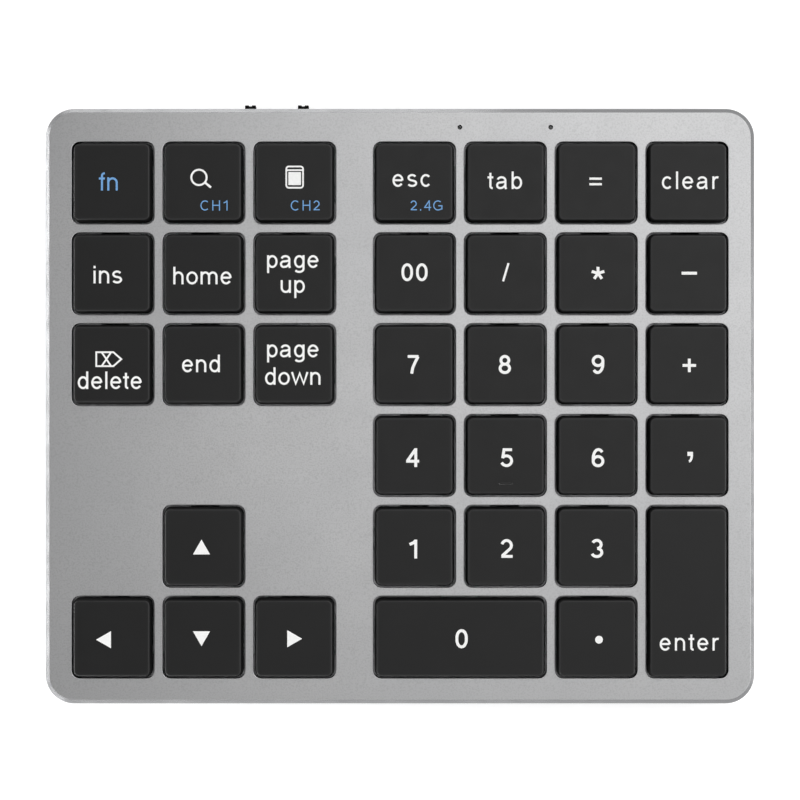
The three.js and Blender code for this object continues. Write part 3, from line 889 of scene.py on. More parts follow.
def calculator_mark():
    case = outline(3.48, 4.42, 0.5, 4)
    line = ribbon([(-1.7, 1.45), (1.7, 1.45)], 0.34)
    return ribbon(case + case[:1], 0.34) + line + [outline(2.62, 2.72, 0.1, 2, (0, -0.3))]


def delete_mark():
    box = [(-2.6, -1.45), (0.95, -1.45), (2.6, 0), (0.95, 1.45), (-2.6, 1.45), (-2.6, -1.45)]
    cross = ribbon([(-1.45, -1.4), (0.45, 1.4)], 0.36) + ribbon([(-1.45, 1.4), (0.45, -1.4)], 0.36)
    return ribbon(box, 0.36) + cross


# The offset of each digit's and sign's middle from the middle of its key.
DIGITS = {
    "0": (0.3, -0.1),
    "1": (-0.3, -0.4), "2": (0.2, -0.3), "3": (0.0, -0.3),
    "4": (-0.4, -0.4), "5": (0.2, -0.4), "6": (0.2, -0.4),
    "7": (-0.2, 0.0), "8": (-0.2, 0.0), "9": (0.2, 0.0),
}
SIGNS = {"multiply": ("*", (0.2, 0.0)), "minus": ("-", (0.2, 0.0)), "plus": ("+", (0.2, -0.2))}

# The marks of every other key, with their offsets.
WHITE_MARKS = {
    "search": [(search_mark(), (-0.4, 0.7))],
    "calculator": [(calculator_mark(), (0.1, 1.0))],
    "escape": [(spaced_word("esc"), (-0.7, 0.3))],
    "tab": [(spaced_word("tab"), (-0.2, 0.3))],
    "equals": [(lettering("=", 5.45, 0.46), (-0.3, 0.1))],
    "clear": [(spaced_word("clear"), (0.4, 0.3))],
    "insert": [(word("ins"), (-0.8, -0.3))],
    "home": [(word("home"), (-0.1, -0.5))],
    "page_up": [(word("page"), (-0.3, 1.9)), (word("up"), (-0.3, -3.3))],
    "double_zero": [(lettering("00", 5.1, 0.56, 0.2), (0.0, 0.2))],
    "divide": [(lettering("/", 5.1, 0.44), (0.0, 0.2))],
    "delete": [(delete_mark(), (-0.6, 1.1)), (word("delete"), (-0.4, -3.3))],
    "end": [(word("end"), (-0.4, 0.2))],
    "page_down": [(word("page"), (-0.3, 2.3)), (word("down"), (-0.3, -2.5))],
    "comma": [(comma_mark(), (0.4, -0.3))],
    "enter": [(spaced_word("enter"), (0.2, -10.4))],
    "arrow_right": [(arrow_mark(0), (0.1, -0.1))],
    "arrow_up": [(arrow_mark(1), (-0.3, 0.0))],
    "arrow_left": [(arrow_mark(2), (-1.7, -0.3))],
    "arrow_down": [(arrow_mark(3), (-0.3, -0.1))],
    "point": [([circle(0.81)], (0.4, -0.3))],
}
WHITE_MARKS |= {name: [(digit(name), place)] for name, place in DIGITS.items()}
WHITE_MARKS |= {name: [(digit(sign), place)] for name, (sign, place) in SIGNS.items()}
BLUE_MARKS = {
    "fn": [(lettering("fn", 5.28, 0.42), (-0.7, 0.1))],
    "search": [(small_word("CH1"), (2.3, -4.9))],
    "calculator": [(small_word("CH2"), (2.3, -4.9))],
    "escape": [(small_word("2.4G"), (2.5, -4.9))],
}
WHITE_INK = ink("white_ink", (0.93, 0.93, 0.92), (0.88, 0.88, 0.87))
BLUE_INK = ink("blue_ink", (0.14, 0.34, 0.66), (0.17, 0.38, 0.7))
PRINTS = [
    ("legend_", "legend_white", WHITE_INK, WHITE_MARKS),
    ("blue_legend_", "legend_blue", BLUE_INK, BLUE_MARKS),
]


def legends(name, key):
    """The printed marks of a key, one piece for each colour of ink."""
    for prefix, slot, colour, marks in PRINTS:
        areas = []
        for mark, (right, rear) in marks.get(name, ()):
            u, v = key["u"] + right, key["v"] + rear
            areas += [[(u + x, v + y) for x, y in area] for area in mark]
        if areas:
            print_areas = Shape()
            print_areas.slab(areas, KEY_TOP - INK_THICKNESS, KEY_TOP + INK_THICKNESS)
            print_areas.piece(prefix + name, DECK, [colour], body="key_" + name, sharp=30)


# ---------------------------------------------------------------- top cover


def cover_ring(inset, height, steps=14):
    points = outline(BODY_WIDTH - 2 * inset, BODY_DEPTH - 2 * inset, CORNER_RADIUS - inset, steps)
    return raised(points, height)


def top_cover():
    """A machined plate with a turned-down skirt. Its openings and its outer edge are cut after anodising."""
    body, bright, shaded_walls, broken = range(4)
    chamfer, inner, support = COVER_CHAMFER, SKIRT_THICKNESS, 0.008
    skirt = [
        (inner, -PLATE_THICKNESS),
        (inner, SKIRT_BOTTOM + 0.1),
        (inner - 0.1, SKIRT_BOTTOM),
        (0.12, SKIRT_BOTTOM),
        (0.0, SKIRT_BOTTOM + 0.12),
        (0.0, SKIRT_BOTTOM + 0.3),
        (0.0, -chamfer - 0.12),
        (0.0, -chamfer - 0.05),
    ]
    edge = [skirt[-1], (0.012, -chamfer - support)]
    edge += [(inset, inset - chamfer) for inset in (0.04, 0.1, chamfer - 0.1, chamfer - 0.04)]
    edge.append((chamfer + support, -0.012))
    rim = [edge[-1], (chamfer + 0.035, 0.0), (chamfer + 0.4, 0.0)]
    cover = Shape()
    for stops, finish in ((skirt, body), (edge, bright), (rim, body)):
        cover.loft([cover_ring(*stop) for stop in stops], finish, capped=False)
    break_edge, break_depth = 0.1, 0.03
    inner_loops, outer_loops = [], []
    for key in KEYS.values():
        for loops, grown in ((inner_loops, 0.0), (outer_loops, break_edge)):
            wide, deep = key["wide"] + 2 * grown, key["deep"] + 2 * grown
            loops.append(outline(wide, deep, APERTURE_RADIUS + grown, 7, (key["u"], key["v"])))
    for small, large in zip(inner_loops, outer_loops):
        cover.loft([raised(large, 0.0), raised(small, -break_depth)], broken, capped=False)
        # Below the broken edge, the wall takes the painted-shade finish.
        cover.loft([raised(small, -break_depth), raised(small, -PLATE_THICKNESS)], shaded_walls, capped=False)
    holes = [circle(0.5, 20, place) for place in light_places()]
    # The walls of the two small holes take the painted-shade finish too.
    for hole in holes:
        cover.loft([raised(hole, 0.0), raised(hole, -PLATE_THICKNESS)], shaded_walls, capped=False)
    cover.level_face([flat(cover_ring(*rim[-1]))] + outer_loops + holes, 0.0, True, body)
    cover.level_face([flat(cover_ring(inner, 0))] + inner_loops + holes, -PLATE_THICKNESS, False, body)
    boss = [(SCREW_HOLE, -1.25), (SCREW_HOLE, BOSS_BOTTOM + 0.15), (1.1, BOSS_BOTTOM), (1.9, BOSS_BOTTOM)]
    boss += [(BOSS_RADIUS, BOSS_BOTTOM + 0.1), (BOSS_RADIUS, -PLATE_THICKNESS + 0.1)]
    for place in SCREWS.values():
        cover.loft(round_rings(boss, 24, place), body)
    cover.piece("top_cover_shell", DECK, cover_finishes(), ["top_cover"], sharp=14)


def light_places():
    """The two small holes near the rear edge, each between two columns of keys."""
    rear = BODY_DEPTH / 2 - LIGHT_INSET
    columns = [KEYS[name]["u"] for name in ("escape", "tab", "equals")]
    return [((columns[i] + columns[i + 1]) / 2, rear) for i in range(2)]


# ---------------------------------------------------------------- bottom case

CASE_PLASTIC = made("case_plastic", (0.235, 0.238, 0.245), (0.215, 0.218, 0.225), 0.5, 0.35, 0.02)


def case_ring(inset, height, steps=14):
    """The wall's outline at a height above the ground. The wall stands square to the deck."""
    points = outline(BODY_WIDTH - 2 * inset, BODY_DEPTH - 2 * inset, CORNER_RADIUS - inset, steps)
    return [(u, v, (height - DECK_Z - v * math.sin(TILT)) / math.cos(TILT)) for u, v in points]


def bottom_case():
    """A tray with a level floor, screw towers, board posts, battery ribs and openings at the rear."""
    tray = Shape()
    tray.loft([
        case_ring(CASE_CHAMFER + 0.5, CASE_BOTTOM),
        case_ring(CASE_CHAMFER + 0.1, CASE_BOTTOM),
        case_ring(CASE_CHAMFER - 0.06, CASE_BOTTOM + 0.04),
        case_ring(0.06, CASE_BOTTOM + CASE_CHAMFER - 0.04),
        case_ring(0.0, CASE_BOTTOM + CASE_CHAMFER + 0.1),
        cover_ring(0.0, CASE_TOP - 0.15),
        cover_ring(0.04, CASE_TOP - 0.04),
        cover_ring(0.15, CASE_TOP),
        cover_ring(LIP_OUTER, CASE_TOP),
        cover_ring(LIP_OUTER, LIP[1] - 0.2),
        cover_ring(LIP_OUTER + 0.2, LIP[1]),
        cover_ring(LIP_INNER - 0.2, LIP[1]),
        cover_ring(LIP_INNER, LIP[1] - 0.2),
        cover_ring(LIP_INNER, LIP[0] + 0.4),
        cover_ring(CASE_WALL, LIP[0] + 0.1),
        case_ring(CASE_WALL, CASE_FLOOR + 0.02),
        case_ring(CASE_WALL + 0.5, CASE_FLOOR),
    ])
    rooms, towers, bores, props, cuts = (Shape() for _ in range(5))
    below, seat = -3 * DECK_Z, SCREW_HEAD[1] + 0.1
    bore = [(COUNTERBORE, below), (COUNTERBORE, seat), (SCREW_HOLE, seat), (SCREW_HOLE, 0)]
    for place in SCREWS.values():
        rooms.turned([(BOSS_RADIUS + 0.35, CASE_TOP - 0.02), (BOSS_RADIUS + 0.35, 0)], 32, place)
        floor_there = (CASE_BOTTOM + 0.5 - DECK_Z - place[1] * math.sin(TILT)) / math.cos(TILT)
        towers.turned([(TOWER_RADIUS, floor_there), (TOWER_RADIUS, CASE_TOP - 0.04)], 32, place)
        bores.turned(bore, 32, place)
    sunk = CASE_FLOOR - 0.3
    for x in POSTS:
        props.turned([(POST_RADIUS, sunk), (POST_RADIUS, POST_TOP)], 24, (x, (BOARD[1] + BOARD[3]) / 2))
    gap, thick, tall = 0.4, 1.2, 1.4
    wide, deep, middle = extent(BATTERY)
    pen = outline(wide + 2 * gap, deep + 2 * gap, 0.6, 4, middle)
    fence = outline(wide + 2 * (gap + thick), deep + 2 * (gap + thick), 1.0, 4, middle)
    props.panel([fence, pen], sunk, CASE_FLOOR + tall)
    for place in FEET.values():
        cuts.turned([(FOOT_RECESS_RADIUS, -1), (FOOT_RECESS_RADIUS, FOOT_RECESS_TOP)], 48, place)
    openings = []
    for knob in KNOB_MIDDLES.values():
        place = (knob + KNOB_TRAVEL / 2, sum(KNOB_HEIGHTS) / 2)
        openings.append((outline(*KNOB_ROOM, 0.3, 4, place), KNOB_DEPTHS))
    mouth = outline(PORT_WIDE + 0.6, PORT_TALL + 0.6, PORT_TALL / 2 + 0.28, 10, (PORT_X, PORT_Z))
    for opening, (front, rear) in openings + [(mouth, PORT_DEPTHS)]:
        cuts.loft([raised(opening, -2 * rear), raised(opening, -front)], place=FACING_REAR)
    work = [
        ("DIFFERENCE", rooms, ON_DECK),
        ("UNION", towers, ON_DECK),
        ("DIFFERENCE", bores, ON_DECK),
        ("UNION", props, ON_LEVEL),
        ("DIFFERENCE", cuts, ON_LEVEL),
    ]
    finish, sharp = [CASE_PLASTIC], 28
    changes = [(kind, shape.mesh(kind, placed, finish, sharp)) for kind, shape, placed in work]
    data = carved("bottom_case_shell", tray.mesh("tray", ON_DECK, finish, sharp), changes, sharp)
    put("bottom_case_shell", data, "base", ["bottom_case"])


# ---------------------------------------------------------------- feet, screws, knobs, port and light pipes

FOOT_RUBBER = made("foot_rubber", (0.012, 0.012, 0.0125), (0.02, 0.02, 0.02), 0.78, 0.12, 0.02)
SCREW_STEEL = made("screw_steel", (0.52, 0.51, 0.49), (0.42, 0.41, 0.4), 0.3, 0.08, 0.003, 1.0)
SWITCH_SHADES = ((0.003, 0.003, 0.0032), (0.005, 0.005, 0.0052))
DARK_PLASTIC = made("switch_plastic", *SWITCH_SHADES, 0.5, 0.1, 0.006, Specular_IOR_Level=0.25)
PORT_STEEL = made("port_steel", (0.56, 0.55, 0.53), (0.47, 0.46, 0.45), 0.24, 0.1, 0.002, 1.0, (1, 8, 1))
GOLD = made("gold_contact", (0.9, 0.62, 0.24), (0.8, 0.52, 0.18), 0.22, 0.06, 0.002, 1.0)
CLEAR_SHADES = ((0.9, 0.92, 0.93), (0.86, 0.88, 0.9))
CLEAR_PLASTIC = made("clear_plastic", *CLEAR_SHADES, 0.12, 0.3, 0.002, Transmission_Weight=0.95, IOR=1.49)


def feet():
    """Rubber pads with rounded edges and shallow rings underneath."""
    lift = 0.06
    profile = [(0.6, lift)]
    for radius in (1.2, 2.2):
        profile += [(radius, lift), (radius + 0.15, 0.0), (radius + 0.55, 0.0), (radius + 0.7, lift)]
    profile += [(3.2, lift), (3.35, 0.0), (3.75, 0.0)]
    profile += [(FOOT_RADIUS - 0.45, 0.0), (FOOT_RADIUS - 0.12, 0.12), (FOOT_RADIUS, 0.45)]
    profile += [(FOOT_RADIUS, FOOT_HEIGHT - 0.15), (FOOT_RADIUS - 0.1, FOOT_HEIGHT), (1.0, FOOT_HEIGHT)]
    for name, place in FEET.items():
        pad = Shape()
        pad.turned(profile, 48, place)
        pad.piece("foot_pad_" + name, LEVEL, [FOOT_RUBBER], ["foot_" + name], sharp=40)


def screws():
    """Self-tapping screws with a pan head and a cross recess."""
    low, high = SCREW_HEAD
    arm, half, recess_depth, rim, core = 0.82, 0.2, 0.5, 1.15, 0.6
    cross = [(arm, -half), (arm, half), (half, half), (half, arm), (-half, arm), (-half, half)]
    cross += [(-x, -y) for x, y in cross]
    profile = [(rim, low), (1.38, low + 0.12), (1.5, low + 0.4)]
    profile += [(1.5, high - 0.08), (1.42, high), (core, high)]
    height = high
    while height < SCREW_TIP - 0.6:
        profile += [(core, height + 0.05), (0.8, height + 0.2), (core, height + 0.35)]
        height += 0.4
    profile += [(0.55, SCREW_TIP - 0.4), (0.2, SCREW_TIP)]
    for name, (u, v) in SCREWS.items():
        mouth = [(u + x, v + y) for x, y in cross]
        end = [(u + 0.6 * x, v + 0.6 * y) for x, y in cross]
        screw = Shape()
        screw.level_face([circle(rim, 28, (u, v)), mouth], low, False)
        screw.loft([raised(end, low + recess_depth), raised(mouth, low)], capped=False)
        screw.level_face([end], low + recess_depth, False)
        screw.loft(round_rings(profile, 28, (u, v)), capped=False)
        screw.level_face([circle(0.2, 28, (u, v))], SCREW_TIP, True)
        screw.piece("screw_body_" + name, DECK, [SCREW_STEEL], ["screw_" + name])


def knobs():
    """A stem that ends in two ridges with a groove between them, for a fingernail."""
    heights = KNOB_HEIGHTS
    front, rear = KNOB_DEPTHS
    groove, deep, ridge = 0.6, 0.2, 1.2
    wide = (KNOB_WIDTH - groove) / 2
    for name, middle in KNOB_MIDDLES.items():
        knob = Shape()
        stem = (front + rear - deep) / 2
        knob.brick((middle, stem), KNOB_WIDTH, rear - deep - front, *heights, 0.08)
        for side in (-1, 1):
            place = (middle + side * (groove + wide) / 2, rear - ridge / 2)
            knob.brick(place, wide, ridge, *heights, 0.08)
        finish, node = [DARK_PLASTIC], name + "_switch_knob"
        knob.piece(name + "_slider", LEVEL, finish, [node], name + "_knob")


def usb_port():
    """A drawn steel shell round a tongue with contacts on both faces."""
    front, rear = PORT_DEPTHS
    inner_end = front + 0.6
    stops = [
        (PORT_WALL + 0.3, -inner_end),
        (PORT_WALL, -inner_end - 0.2),
        (PORT_WALL, 0.08 - rear),
        (PORT_WALL - 0.08, -rear),
        (0.08, -rear),
        (0.0, 0.08 - rear),
        (0.0, -front - 0.3),
        (0.3, -front),
    ]
    shell = Shape()
    rings = rounded_rings(stops, PORT_WIDE, PORT_TALL, PORT_TALL / 2 - 0.01, 10, (PORT_X, PORT_Z))
    shell.loft(rings, place=FACING_REAR)
    shell.piece("usb_shell", LEVEL, [PORT_STEEL], ["usb_port"])
    half_wide, half_thick, tip = 3.35, 0.35, 61.4
    tongue = Shape()
    low = (PORT_X - half_wide, front + 0.3, PORT_Z - half_thick)
    tongue.block(low, (PORT_X + half_wide, tip, PORT_Z + half_thick), 0.1, 0.5)
    tongue.piece("usb_tongue", LEVEL, [DARK_PLASTIC])
    start, end, pitch = front + 0.7, tip - 0.3, 0.5
    contacts = Shape()
    for bottom in (PORT_Z - half_thick - 0.02, PORT_Z + half_thick - 0.02):
        for place in range(12):
            middle = (PORT_X + (place - 5.5) * pitch, (start + end) / 2)
            contacts.brick(middle, 0.26, end - start, bottom, bottom + 0.04, 0.01)
    contacts.piece("usb_contacts", LEVEL, [GOLD])


def light_pipes():
    """Stepped rods that carry light from the board to the holes in the cover."""
    profile = [(0.7, PIPE_BOTTOM), (0.9, PIPE_BOTTOM + 0.2), (0.9, PIPE_SHOULDER - 0.1), (0.8, PIPE_SHOULDER)]
    profile += [(0.4, PIPE_SHOULDER), (0.4, PIPE_TOP - 0.14), (0.3, PIPE_TOP - 0.04), (0.1, PIPE_TOP)]
    for side, place in zip(("left", "right"), light_places()):
        pipe = Shape()
        pipe.turned(profile, 20, place)
        pipe.piece("light_guide_" + side, DECK, [CLEAR_PLASTIC], ["light_pipe_" + side])


# ---------------------------------------------------------------- layers under the keys

PLATE_STEEL = made("plate_steel", (0.42, 0.42, 0.43), (0.36, 0.36, 0.37), 0.36, 0.2, 0.004, 1.0, (6, 1, 1))
SPRING_STEEL = made("spring_steel", (0.55, 0.55, 0.56), (0.48, 0.48, 0.49), 0.25, 0.15, 0.002, 1.0)
POLYESTER = made("polyester", (0.6, 0.68, 0.66), (0.56, 0.64, 0.62), 0.32, 2.0, 0.004)
SPACER = made("spacer_film", (0.72, 0.74, 0.75), (0.68, 0.7, 0.71), 0.4, 2.0, 0.004)
SILVER_INK = made("silver_ink", (0.5, 0.5, 0.48), (0.42, 0.42, 0.4), 0.45, 0.1, 0.003, 0.8)
SILICONE = made("silicone", (0.66, 0.68, 0.7), (0.6, 0.62, 0.64), 0.5, 0.25, 0.004, Subsurface_Weight=0.1)
NYLON = made("scissor_nylon", (0.7, 0.7, 0.69), (0.64, 0.64, 0.63), 0.45, 0.2, 0.004)
COLUMNS = sorted({key["u"] for name, key in KEYS.items() if name != "0"})
ROWS = {  # the places across of each row's keys, from the rear row forwards
    v: [key["u"] for key in KEYS.values() if abs(key["v"] - v) < 1]
    for v in sorted({key["v"] for name, key in KEYS.items() if name != "enter"}, reverse=True)
}
ROW_PLACES = list(ROWS)
LINKS = [(0, 1, 0, 2), (1, 2, 4, 5), (3, 4, 0, 5), (6, 6, 4, 5)]  # first and last column, rear and front row
TAIL = (-14, -4, 57.25)


def rounded_corners(corners, radius, steps=5):
    """An outline with every corner of a polygon, inner or outer, rounded."""
    points = []
    for i, corner in enumerate(corners):
        corner = Vector(corner)
        before = corner + (Vector(corners[i - 1]) - corner).normalized() * radius
        after = corner + (Vector(corners[(i + 1) % len(corners)]) - corner).normalized() * radius
        for step in range(steps + 1):
            t = step / steps
            point = before * (1 - t) ** 2 + corner * 2 * t * (1 - t) + after * t * t
            points.append((point.x, point.y))
    return points


def key_plate():
    """A steel sheet with lightening holes, and hooks bent up for the scissors' lower ends."""
    inset, notch = 2.7, 4.4
    side, front, rear = BODY_WIDTH / 2 - inset, inset - BODY_DEPTH / 2, BODY_DEPTH / 2 - 5.7
    right_half = [(side - notch, front), (side - notch, front + notch), (side, front + notch)]
    right_half += [(side, rear - notch), (side - notch, rear - notch), (side - notch, rear)]
    corners = right_half + [(-u, v) for u, v in reversed(right_half)]
    plate = Shape()
    holes = [outline(6.0, 2.6, 0.8, 4, (key["u"], key["v"] + 8.6)) for key in KEYS.values() if key["v"] < 45]
    plate.panel([rounded_corners(corners, 0.9)] + holes, *KEY_PLATE)
    wide, thick, reach, top = 1.4, 0.4, 0.75, -1.75
    for key in KEYS.values():
        for across in (-4.7, 4.7):
            for along in (-1, 1):
                u, v = key["u"] + across, key["v"] + along * 6.0
                plate.brick((u, v), wide, thick, KEY_PLATE[1] - 0.1, top, 0.06)
                plate.brick((u, v - along * reach / 2), wide, reach, top - 0.25, top, 0.06)
    plate.piece("key_plate_sheet", DECK, [PLATE_STEEL], ["key_plate"], sharp=30)


def strips(half):
    """Areas under the rows of keys, with links from row to row."""
    areas = []
    for v, row in ROWS.items():
        left, right = min(row) - 4, COLUMNS[-1] + 4
        areas.append(outline(right - left, 2 * half, 1.2, 5, ((left + right) / 2, v)))
    for first, last, rear, front in LINKS:
        u = (COLUMNS[first] + COLUMNS[last]) / 2
        rear, front = ROW_PLACES[rear], ROW_PLACES[front]
        areas.append(outline(2 * half, rear - front + 1, 0.1, 1, (u, (rear + front) / 2)))
    return areas


def circuit():
    """The membrane with its printed circuit and tail, and the spacer film on top of it."""
    left, right, rear = TAIL
    bottom, top = MEMBRANE
    first, last = ROW_PLACES[0], ROW_PLACES[-1]
    along = outline(right - left, rear - first, 0.2, 2, ((left + right) / 2, (rear + first) / 2))
    sheet = Shape()
    sheet.slab(strips(3.8) + [along], bottom, top)
    sheet.block((left, rear - 0.3, -7.0), (right, rear, top), 0.05)
    sheet.piece("membrane_sheet", DECK, [POLYESTER], ["membrane_circuit"], sharp=30)
    lines = []
    for v, row in ROWS.items():
        for shift in (-2.4, 2.4):
            lines += ribbon([(min(row), v + shift), (COLUMNS[-1], v + shift)], 0.35)
    for step in range(-3, 4):
        u = (COLUMNS[3] + COLUMNS[4]) / 2 + 0.7 * step
        lines += ribbon([(u, last), (u, first)], 0.35)
    for step in range(10):
        u = left + 0.95 + 0.9 * step
        lines += ribbon([(u, first + 2.4), (u, rear - 0.4)], 0.4)
    for key in KEYS.values():
        lines.append(circle(1.6, 20, (key["u"], key["v"])))
    tracks = Shape()
    tracks.slab(lines, top - 0.01, top + 0.02)
    tracks.piece("membrane_tracks", DECK, [SILVER_INK], sharp=30)
    spacer = Shape()
    spacer.slab(strips(3.3), *FILM)
    spacer.piece("spacer_sheet", DECK, [SPACER], ["dome_sheet"], sharp=30)


def squashed(thing):
    """Gives a piece its own copy of its mesh."""
    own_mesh(thing)


def domes():
    """A hollow silicone dome under the middle of each key."""
    base = FILM[1]
    foot, neck = DOME_BASE_RADIUS, DOME_TOP_RADIUS
    profile = [(1.3, 0.35), (1.45, 0.3), (2.7, base + 0.3), (2.75, base)]
    profile += [(foot, base), (foot, base + 0.25), (foot - 0.25, base + 0.4)]
    profile += [(neck + 0.12, 0.2), (neck, 0.35), (neck, DOME_TOP - 0.15)]
    profile += [(neck - 0.15, DOME_TOP), (0.9, DOME_TOP), (0.8, DOME_TOP - 0.1)]
    plunger = [(0.65, base + 1.85), (0.8, base + 2.0), (0.8, 0.4)]
    for name, key in KEYS.items():
        dome = Shape()
        for stops in (profile, plunger):
            dome.turned(stops, 24, (key["u"], key["v"]))
        thing = dome.piece("dome_" + name, DECK, [SILICONE])
        squashed(thing)


# ---------------------------------------------------------------- scissors and stabilisers

SCISSOR_BOTTOM = -2.5
SCISSOR_TOP = 0.6


def scissors(name, key):
    """Two frames, hinged together at their middles, that hold the key level."""
    thick, long, bar = 0.7, 10.4, 1.0
    lean = math.asin((SCISSOR_TOP - SCISSOR_BOTTOM - thick) / long)
    middle = Vector((key["u"], key["v"], (SCISSOR_TOP + SCISSOR_BOTTOM) / 2))
    linkage = Shape()
    for half_wide, turn in ((6.2, 1), (4.7, -1)):
        place = Matrix.Translation(middle) @ Matrix.Rotation(turn * lean, 4, "X")
        for side in (-1, 1):
            outer, inner = sorted((side * half_wide, side * (half_wide - bar)))
            low, high = (outer, -long / 2, -thick / 2), (inner, long / 2, thick / 2)
            linkage.block(low, high, 0.12, 0.3, place=place)
            reach, end = half_wide - 0.3, side * (long - bar) / 2
            low, high = (-reach, end - bar / 2, -thick / 2), (reach, end + bar / 2, thick / 2)
            linkage.block(low, high, 0.2, 0.3, place=place)
    for side in (-1, 1):
        ends = sorted((side * 4.0, side * 6.1))
        linkage.tube([middle + Vector((end, 0, 0)) for end in ends], 0.32)
    thing = linkage.piece("scissor_" + name, DECK, [NYLON])
    squashed(thing)


def stabilisers():
    """A bent wire under each long key, with its feet turned in the key plate."""
    rise = WIRE_HEIGHT - WIRE_PIVOT
    foot = WIRE_OFFSET - math.sqrt(WIRE_ARM * WIRE_ARM - rise * rise)
    bend, toe = 0.8, 1.8
    right = [(WIRE_HALF, WIRE_OFFSET, WIRE_HEIGHT)]
    right += [(WIRE_HALF, foot, WIRE_PIVOT), (WIRE_HALF - toe, foot, WIRE_PIVOT)]
    stops = [Vector(stop) for stop in [(-u, v, w) for u, v, w in reversed(right)] + right]
    path = [stops[0]]
    for before, stop, after in zip(stops, stops[1:], stops[2:]):
        start = stop + (before - stop).normalized() * bend
        end = stop + (after - stop).normalized() * bend
        path += [start.lerp(stop, t).lerp(stop.lerp(end, t), t) for t in (0, 0.2, 0.4, 0.6, 0.8, 1)]
    path.append(stops[-1])
    for key_name, label, turn in (("0", "zero", 0), ("enter", "enter", -QUARTER)):
        key = KEYS[key_name]
        place = Matrix.Translation((key["u"], key["v"], 0)) @ Matrix.Rotation(turn, 4, "Z")
        wire = Shape()
        wire.tube([place @ point for point in path], WIRE_RADIUS, 14)
        name, finish, node = "stabiliser_wire_" + label, [SPRING_STEEL], "stabiliser_bar_" + label
        wire.piece(name, DECK, finish, [node], "stabiliser_" + label)


# ---------------------------------------------------------------- electronics

SOLDER_MASK = made("solder_mask", (0.012, 0.075, 0.03), (0.016, 0.1, 0.04), 0.35, 0.3, 0.01)
EPOXY = made("chip_epoxy", (0.012, 0.012, 0.013), (0.018, 0.018, 0.019), 0.6, 0.08, 0.006)
SOCKET_NYLON = made("socket_nylon", (0.62, 0.6, 0.52), (0.55, 0.53, 0.46), 0.5, 0.2, 0.004)
TIN = made("tin", (0.62, 0.62, 0.6), (0.5, 0.5, 0.49), 0.3, 0.1, 0.004, 1.0)
POUCH = made("pouch_foil", (0.5, 0.51, 0.53), (0.43, 0.44, 0.46), 0.3, 1.6, 0.06, 1.0)
TAPE = made("polyimide_tape", (0.5, 0.22, 0.02), (0.42, 0.18, 0.015), 0.25, 0.8, 0.01)
RED_SKIN = made("lead_red", (0.42, 0.015, 0.012), (0.36, 0.012, 0.01), 0.42, 0.3, 0.004)
BLACK_SKIN = made("lead_black", (0.01, 0.01, 0.01), (0.016, 0.016, 0.016), 0.42, 0.3, 0.004)

# Parts on the board: middle, width, depth, height and rounding.
CONTROLLER = (8, 52)
SMALL_ROWS = ((-36, 1.7, 49.2), (15, 1.5, 54.8))  # the first one's place, their pitch and their distance back
SMALL_PARTS = [(x + pitch * place, y) for x, pitch, y in SMALL_ROWS for place in range(9)]
CHIPS = [(CONTROLLER, 6, 6, 0.9, 0.08), ((-20, 51.5), 3, 2.6, 0.8, 0.08)]
CHIPS += [(place, 0.5, 0.85, 0.35, 0.04) for place in SMALL_PARTS]
SOCKETS = [((-9, 55.4), 11, 2.4, 1.1, 0.12), ((30, 49.4), 4.4, 3, 1.9, 0.12)]
SOCKETS += [((u, 58.6), 1.6, 1.2, 0.6, 0.1) for u, _ in light_places()]


def metal_parts():
    """The controller's legs on its four sides, the small parts' ends and the clock crystal."""
    x, y = CONTROLLER
    parts = []
    for place in range(8):
        shift = 0.65 * (place - 3.5)
        parts += [((x + shift, y + side), 0.3, 0.8, 0.12, 0.02) for side in (3.3, -3.3)]
        parts += [((x + side, y + shift), 0.8, 0.3, 0.12, 0.02) for side in (3.3, -3.3)]
    parts += [((u, v + end), 0.5, 0.35, 0.3, 0.04) for u, v in SMALL_PARTS for end in (-0.55, 0.55)]
    return parts + [((1.5, 51.5), 3.2, 1.6, 0.9, 0.15)]


def board():
    """A green board with a controller, two sockets, light-emitting diodes and small parts."""
    bottom, top = BOARD_HEIGHTS
    wide, deep, middle = extent(BOARD)
    card = Shape()
    drills = [circle(0.9, 20, (x, middle[1])) for x in POSTS]
    card.panel([outline(wide, deep, 0.8, 5, middle)] + drills, bottom, top)
    card.piece("board_card", LEVEL, [SOLDER_MASK], ["controller_board"], sharp=30)
    kinds = [
        ("board_chips", EPOXY, "chip_epoxy", CHIPS),
        ("board_sockets", SOCKET_NYLON, "socket_nylon", SOCKETS),
        ("board_metal", TIN, "gold_contact", metal_parts()),
    ]
    for name, finish, slot, parts in kinds:
        group = Shape()
        for place, wide, deep, tall, bevel in parts:
            group.brick(place, wide, deep, top - 0.02, top + tall, bevel)
        group.piece(name, LEVEL, [finish], sharp=30)


def flowing(stops):
    """Points on a smooth curve through some stops."""
    ends = [2 * stops[0] - stops[1]] + stops + [2 * stops[-1] - stops[-2]]
    path = []
    for a, b, c, d in zip(ends, ends[1:], ends[2:], ends[3:]):
        for t in (0, 0.25, 0.5, 0.75):
            bend = (2 * a - 5 * b + 4 * c - d) * t * t + (3 * b - a - 3 * c + d) * t ** 3
            path.append(0.5 * (2 * b + (c - a) * t + bend))
    return path + [stops[-1]]


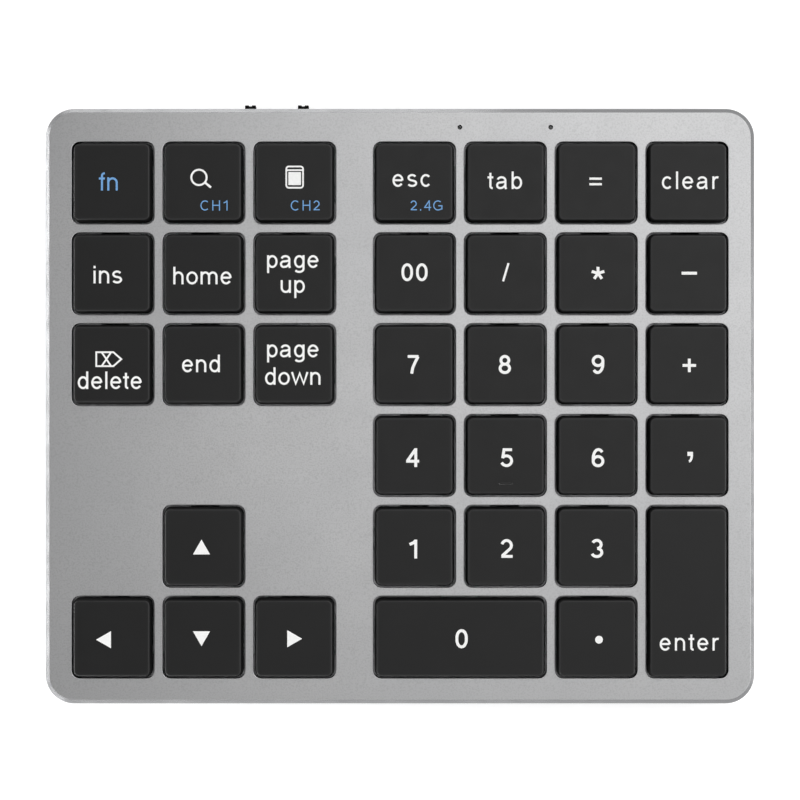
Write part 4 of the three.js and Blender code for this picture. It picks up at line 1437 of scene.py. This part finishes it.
def battery():
    """A foil pouch, taped at the rear where its two-core lead comes out."""
    left, front, right, rear = BATTERY
    bottom, top = BATTERY_HEIGHTS
    wide, deep, middle = extent(BATTERY)
    profile = [(1.2, bottom), (0.5, bottom + 0.12), (0.0, bottom + 0.7)]
    profile += [(0.0, top - 0.75), (0.5, top - 0.17), (1.2, top - 0.05)]
    pouch = Shape()
    pouch.loft(rounded_rings(profile, wide, deep, 1.5, 5, middle))
    pouch.block((left + 0.6, rear - 3.4, bottom), (right - 0.6, rear, top), 0.3, 1.2, 1)
    pouch.piece("battery_pouch", LEVEL, [POUCH, TAPE], ["battery"])
    stops = [(12, 0.4, 5.0), (12.1, 1.3, 5.1), (14.5, 2.4, 5.6), (20, 2.7, 6.2), (26, 2.2, 6.5)]
    stops += [(29.5, 2.4, 6.4), (30, 3.5, 6.3)]
    path = flowing([Vector((x, rear + y, z)) for x, y, z in stops])
    radius = 0.44
    lead = Shape()
    for finish, side in ((0, -radius), (1, radius)):
        core = []
        for point, (before, after) in zip(path, neighbours(path)):
            across = (after - before).cross(Vector((0, 0, 1))).normalized()
            core.append(point + across * side)
        lead.tube(core, radius, 12, finish)
    lead.piece("battery_lead_cores", LEVEL, [RED_SKIN, BLACK_SKIN], ["battery_lead"])


def switch_bodies():
    """Housings that are open towards the rear wall, where their knobs slide."""
    wide, tall, front, rear, middle_height = 7.4, 2.8, 57.2, 60.4, 6.7
    inner_wide, inner_tall = KNOB_ROOM
    stops = [(inner_wide, inner_tall, KNOB_CLEARANCE - KNOB_DEPTHS[0]), (inner_wide, inner_tall, 0.05 - rear)]
    stops += [(inner_wide + 0.1, inner_tall + 0.1, -rear), (wide - 0.16, tall - 0.16, -rear)]
    stops += [(wide, tall, 0.08 - rear), (wide, tall, -front - 0.08), (wide - 0.16, tall - 0.16, -front)]
    for name, knob in KNOB_MIDDLES.items():
        centre = (knob + KNOB_TRAVEL / 2, middle_height)
        housing = Shape()
        housing.loft([raised(outline(w, t, 0.12, 3, centre), h) for w, t, h in stops], place=FACING_REAR)
        finish, node = [DARK_PLASTIC], name + "_switch_body"
        housing.piece(name + "_switch_housing", LEVEL, finish, [node])


# ---------------------------------------------------------------- assembly

camera()
studio()
floor()
for key_name, key_facts in KEYS.items():
    keycap(key_name, key_facts)
    legends(key_name, key_facts)
top_cover()
bottom_case()
feet()
screws()
knobs()
usb_port()
light_pipes()
key_plate()
circuit()
domes()
for key_name, key_facts in KEYS.items():
    scissors(key_name, key_facts)
stabilisers()
board()
battery()
switch_bodies()
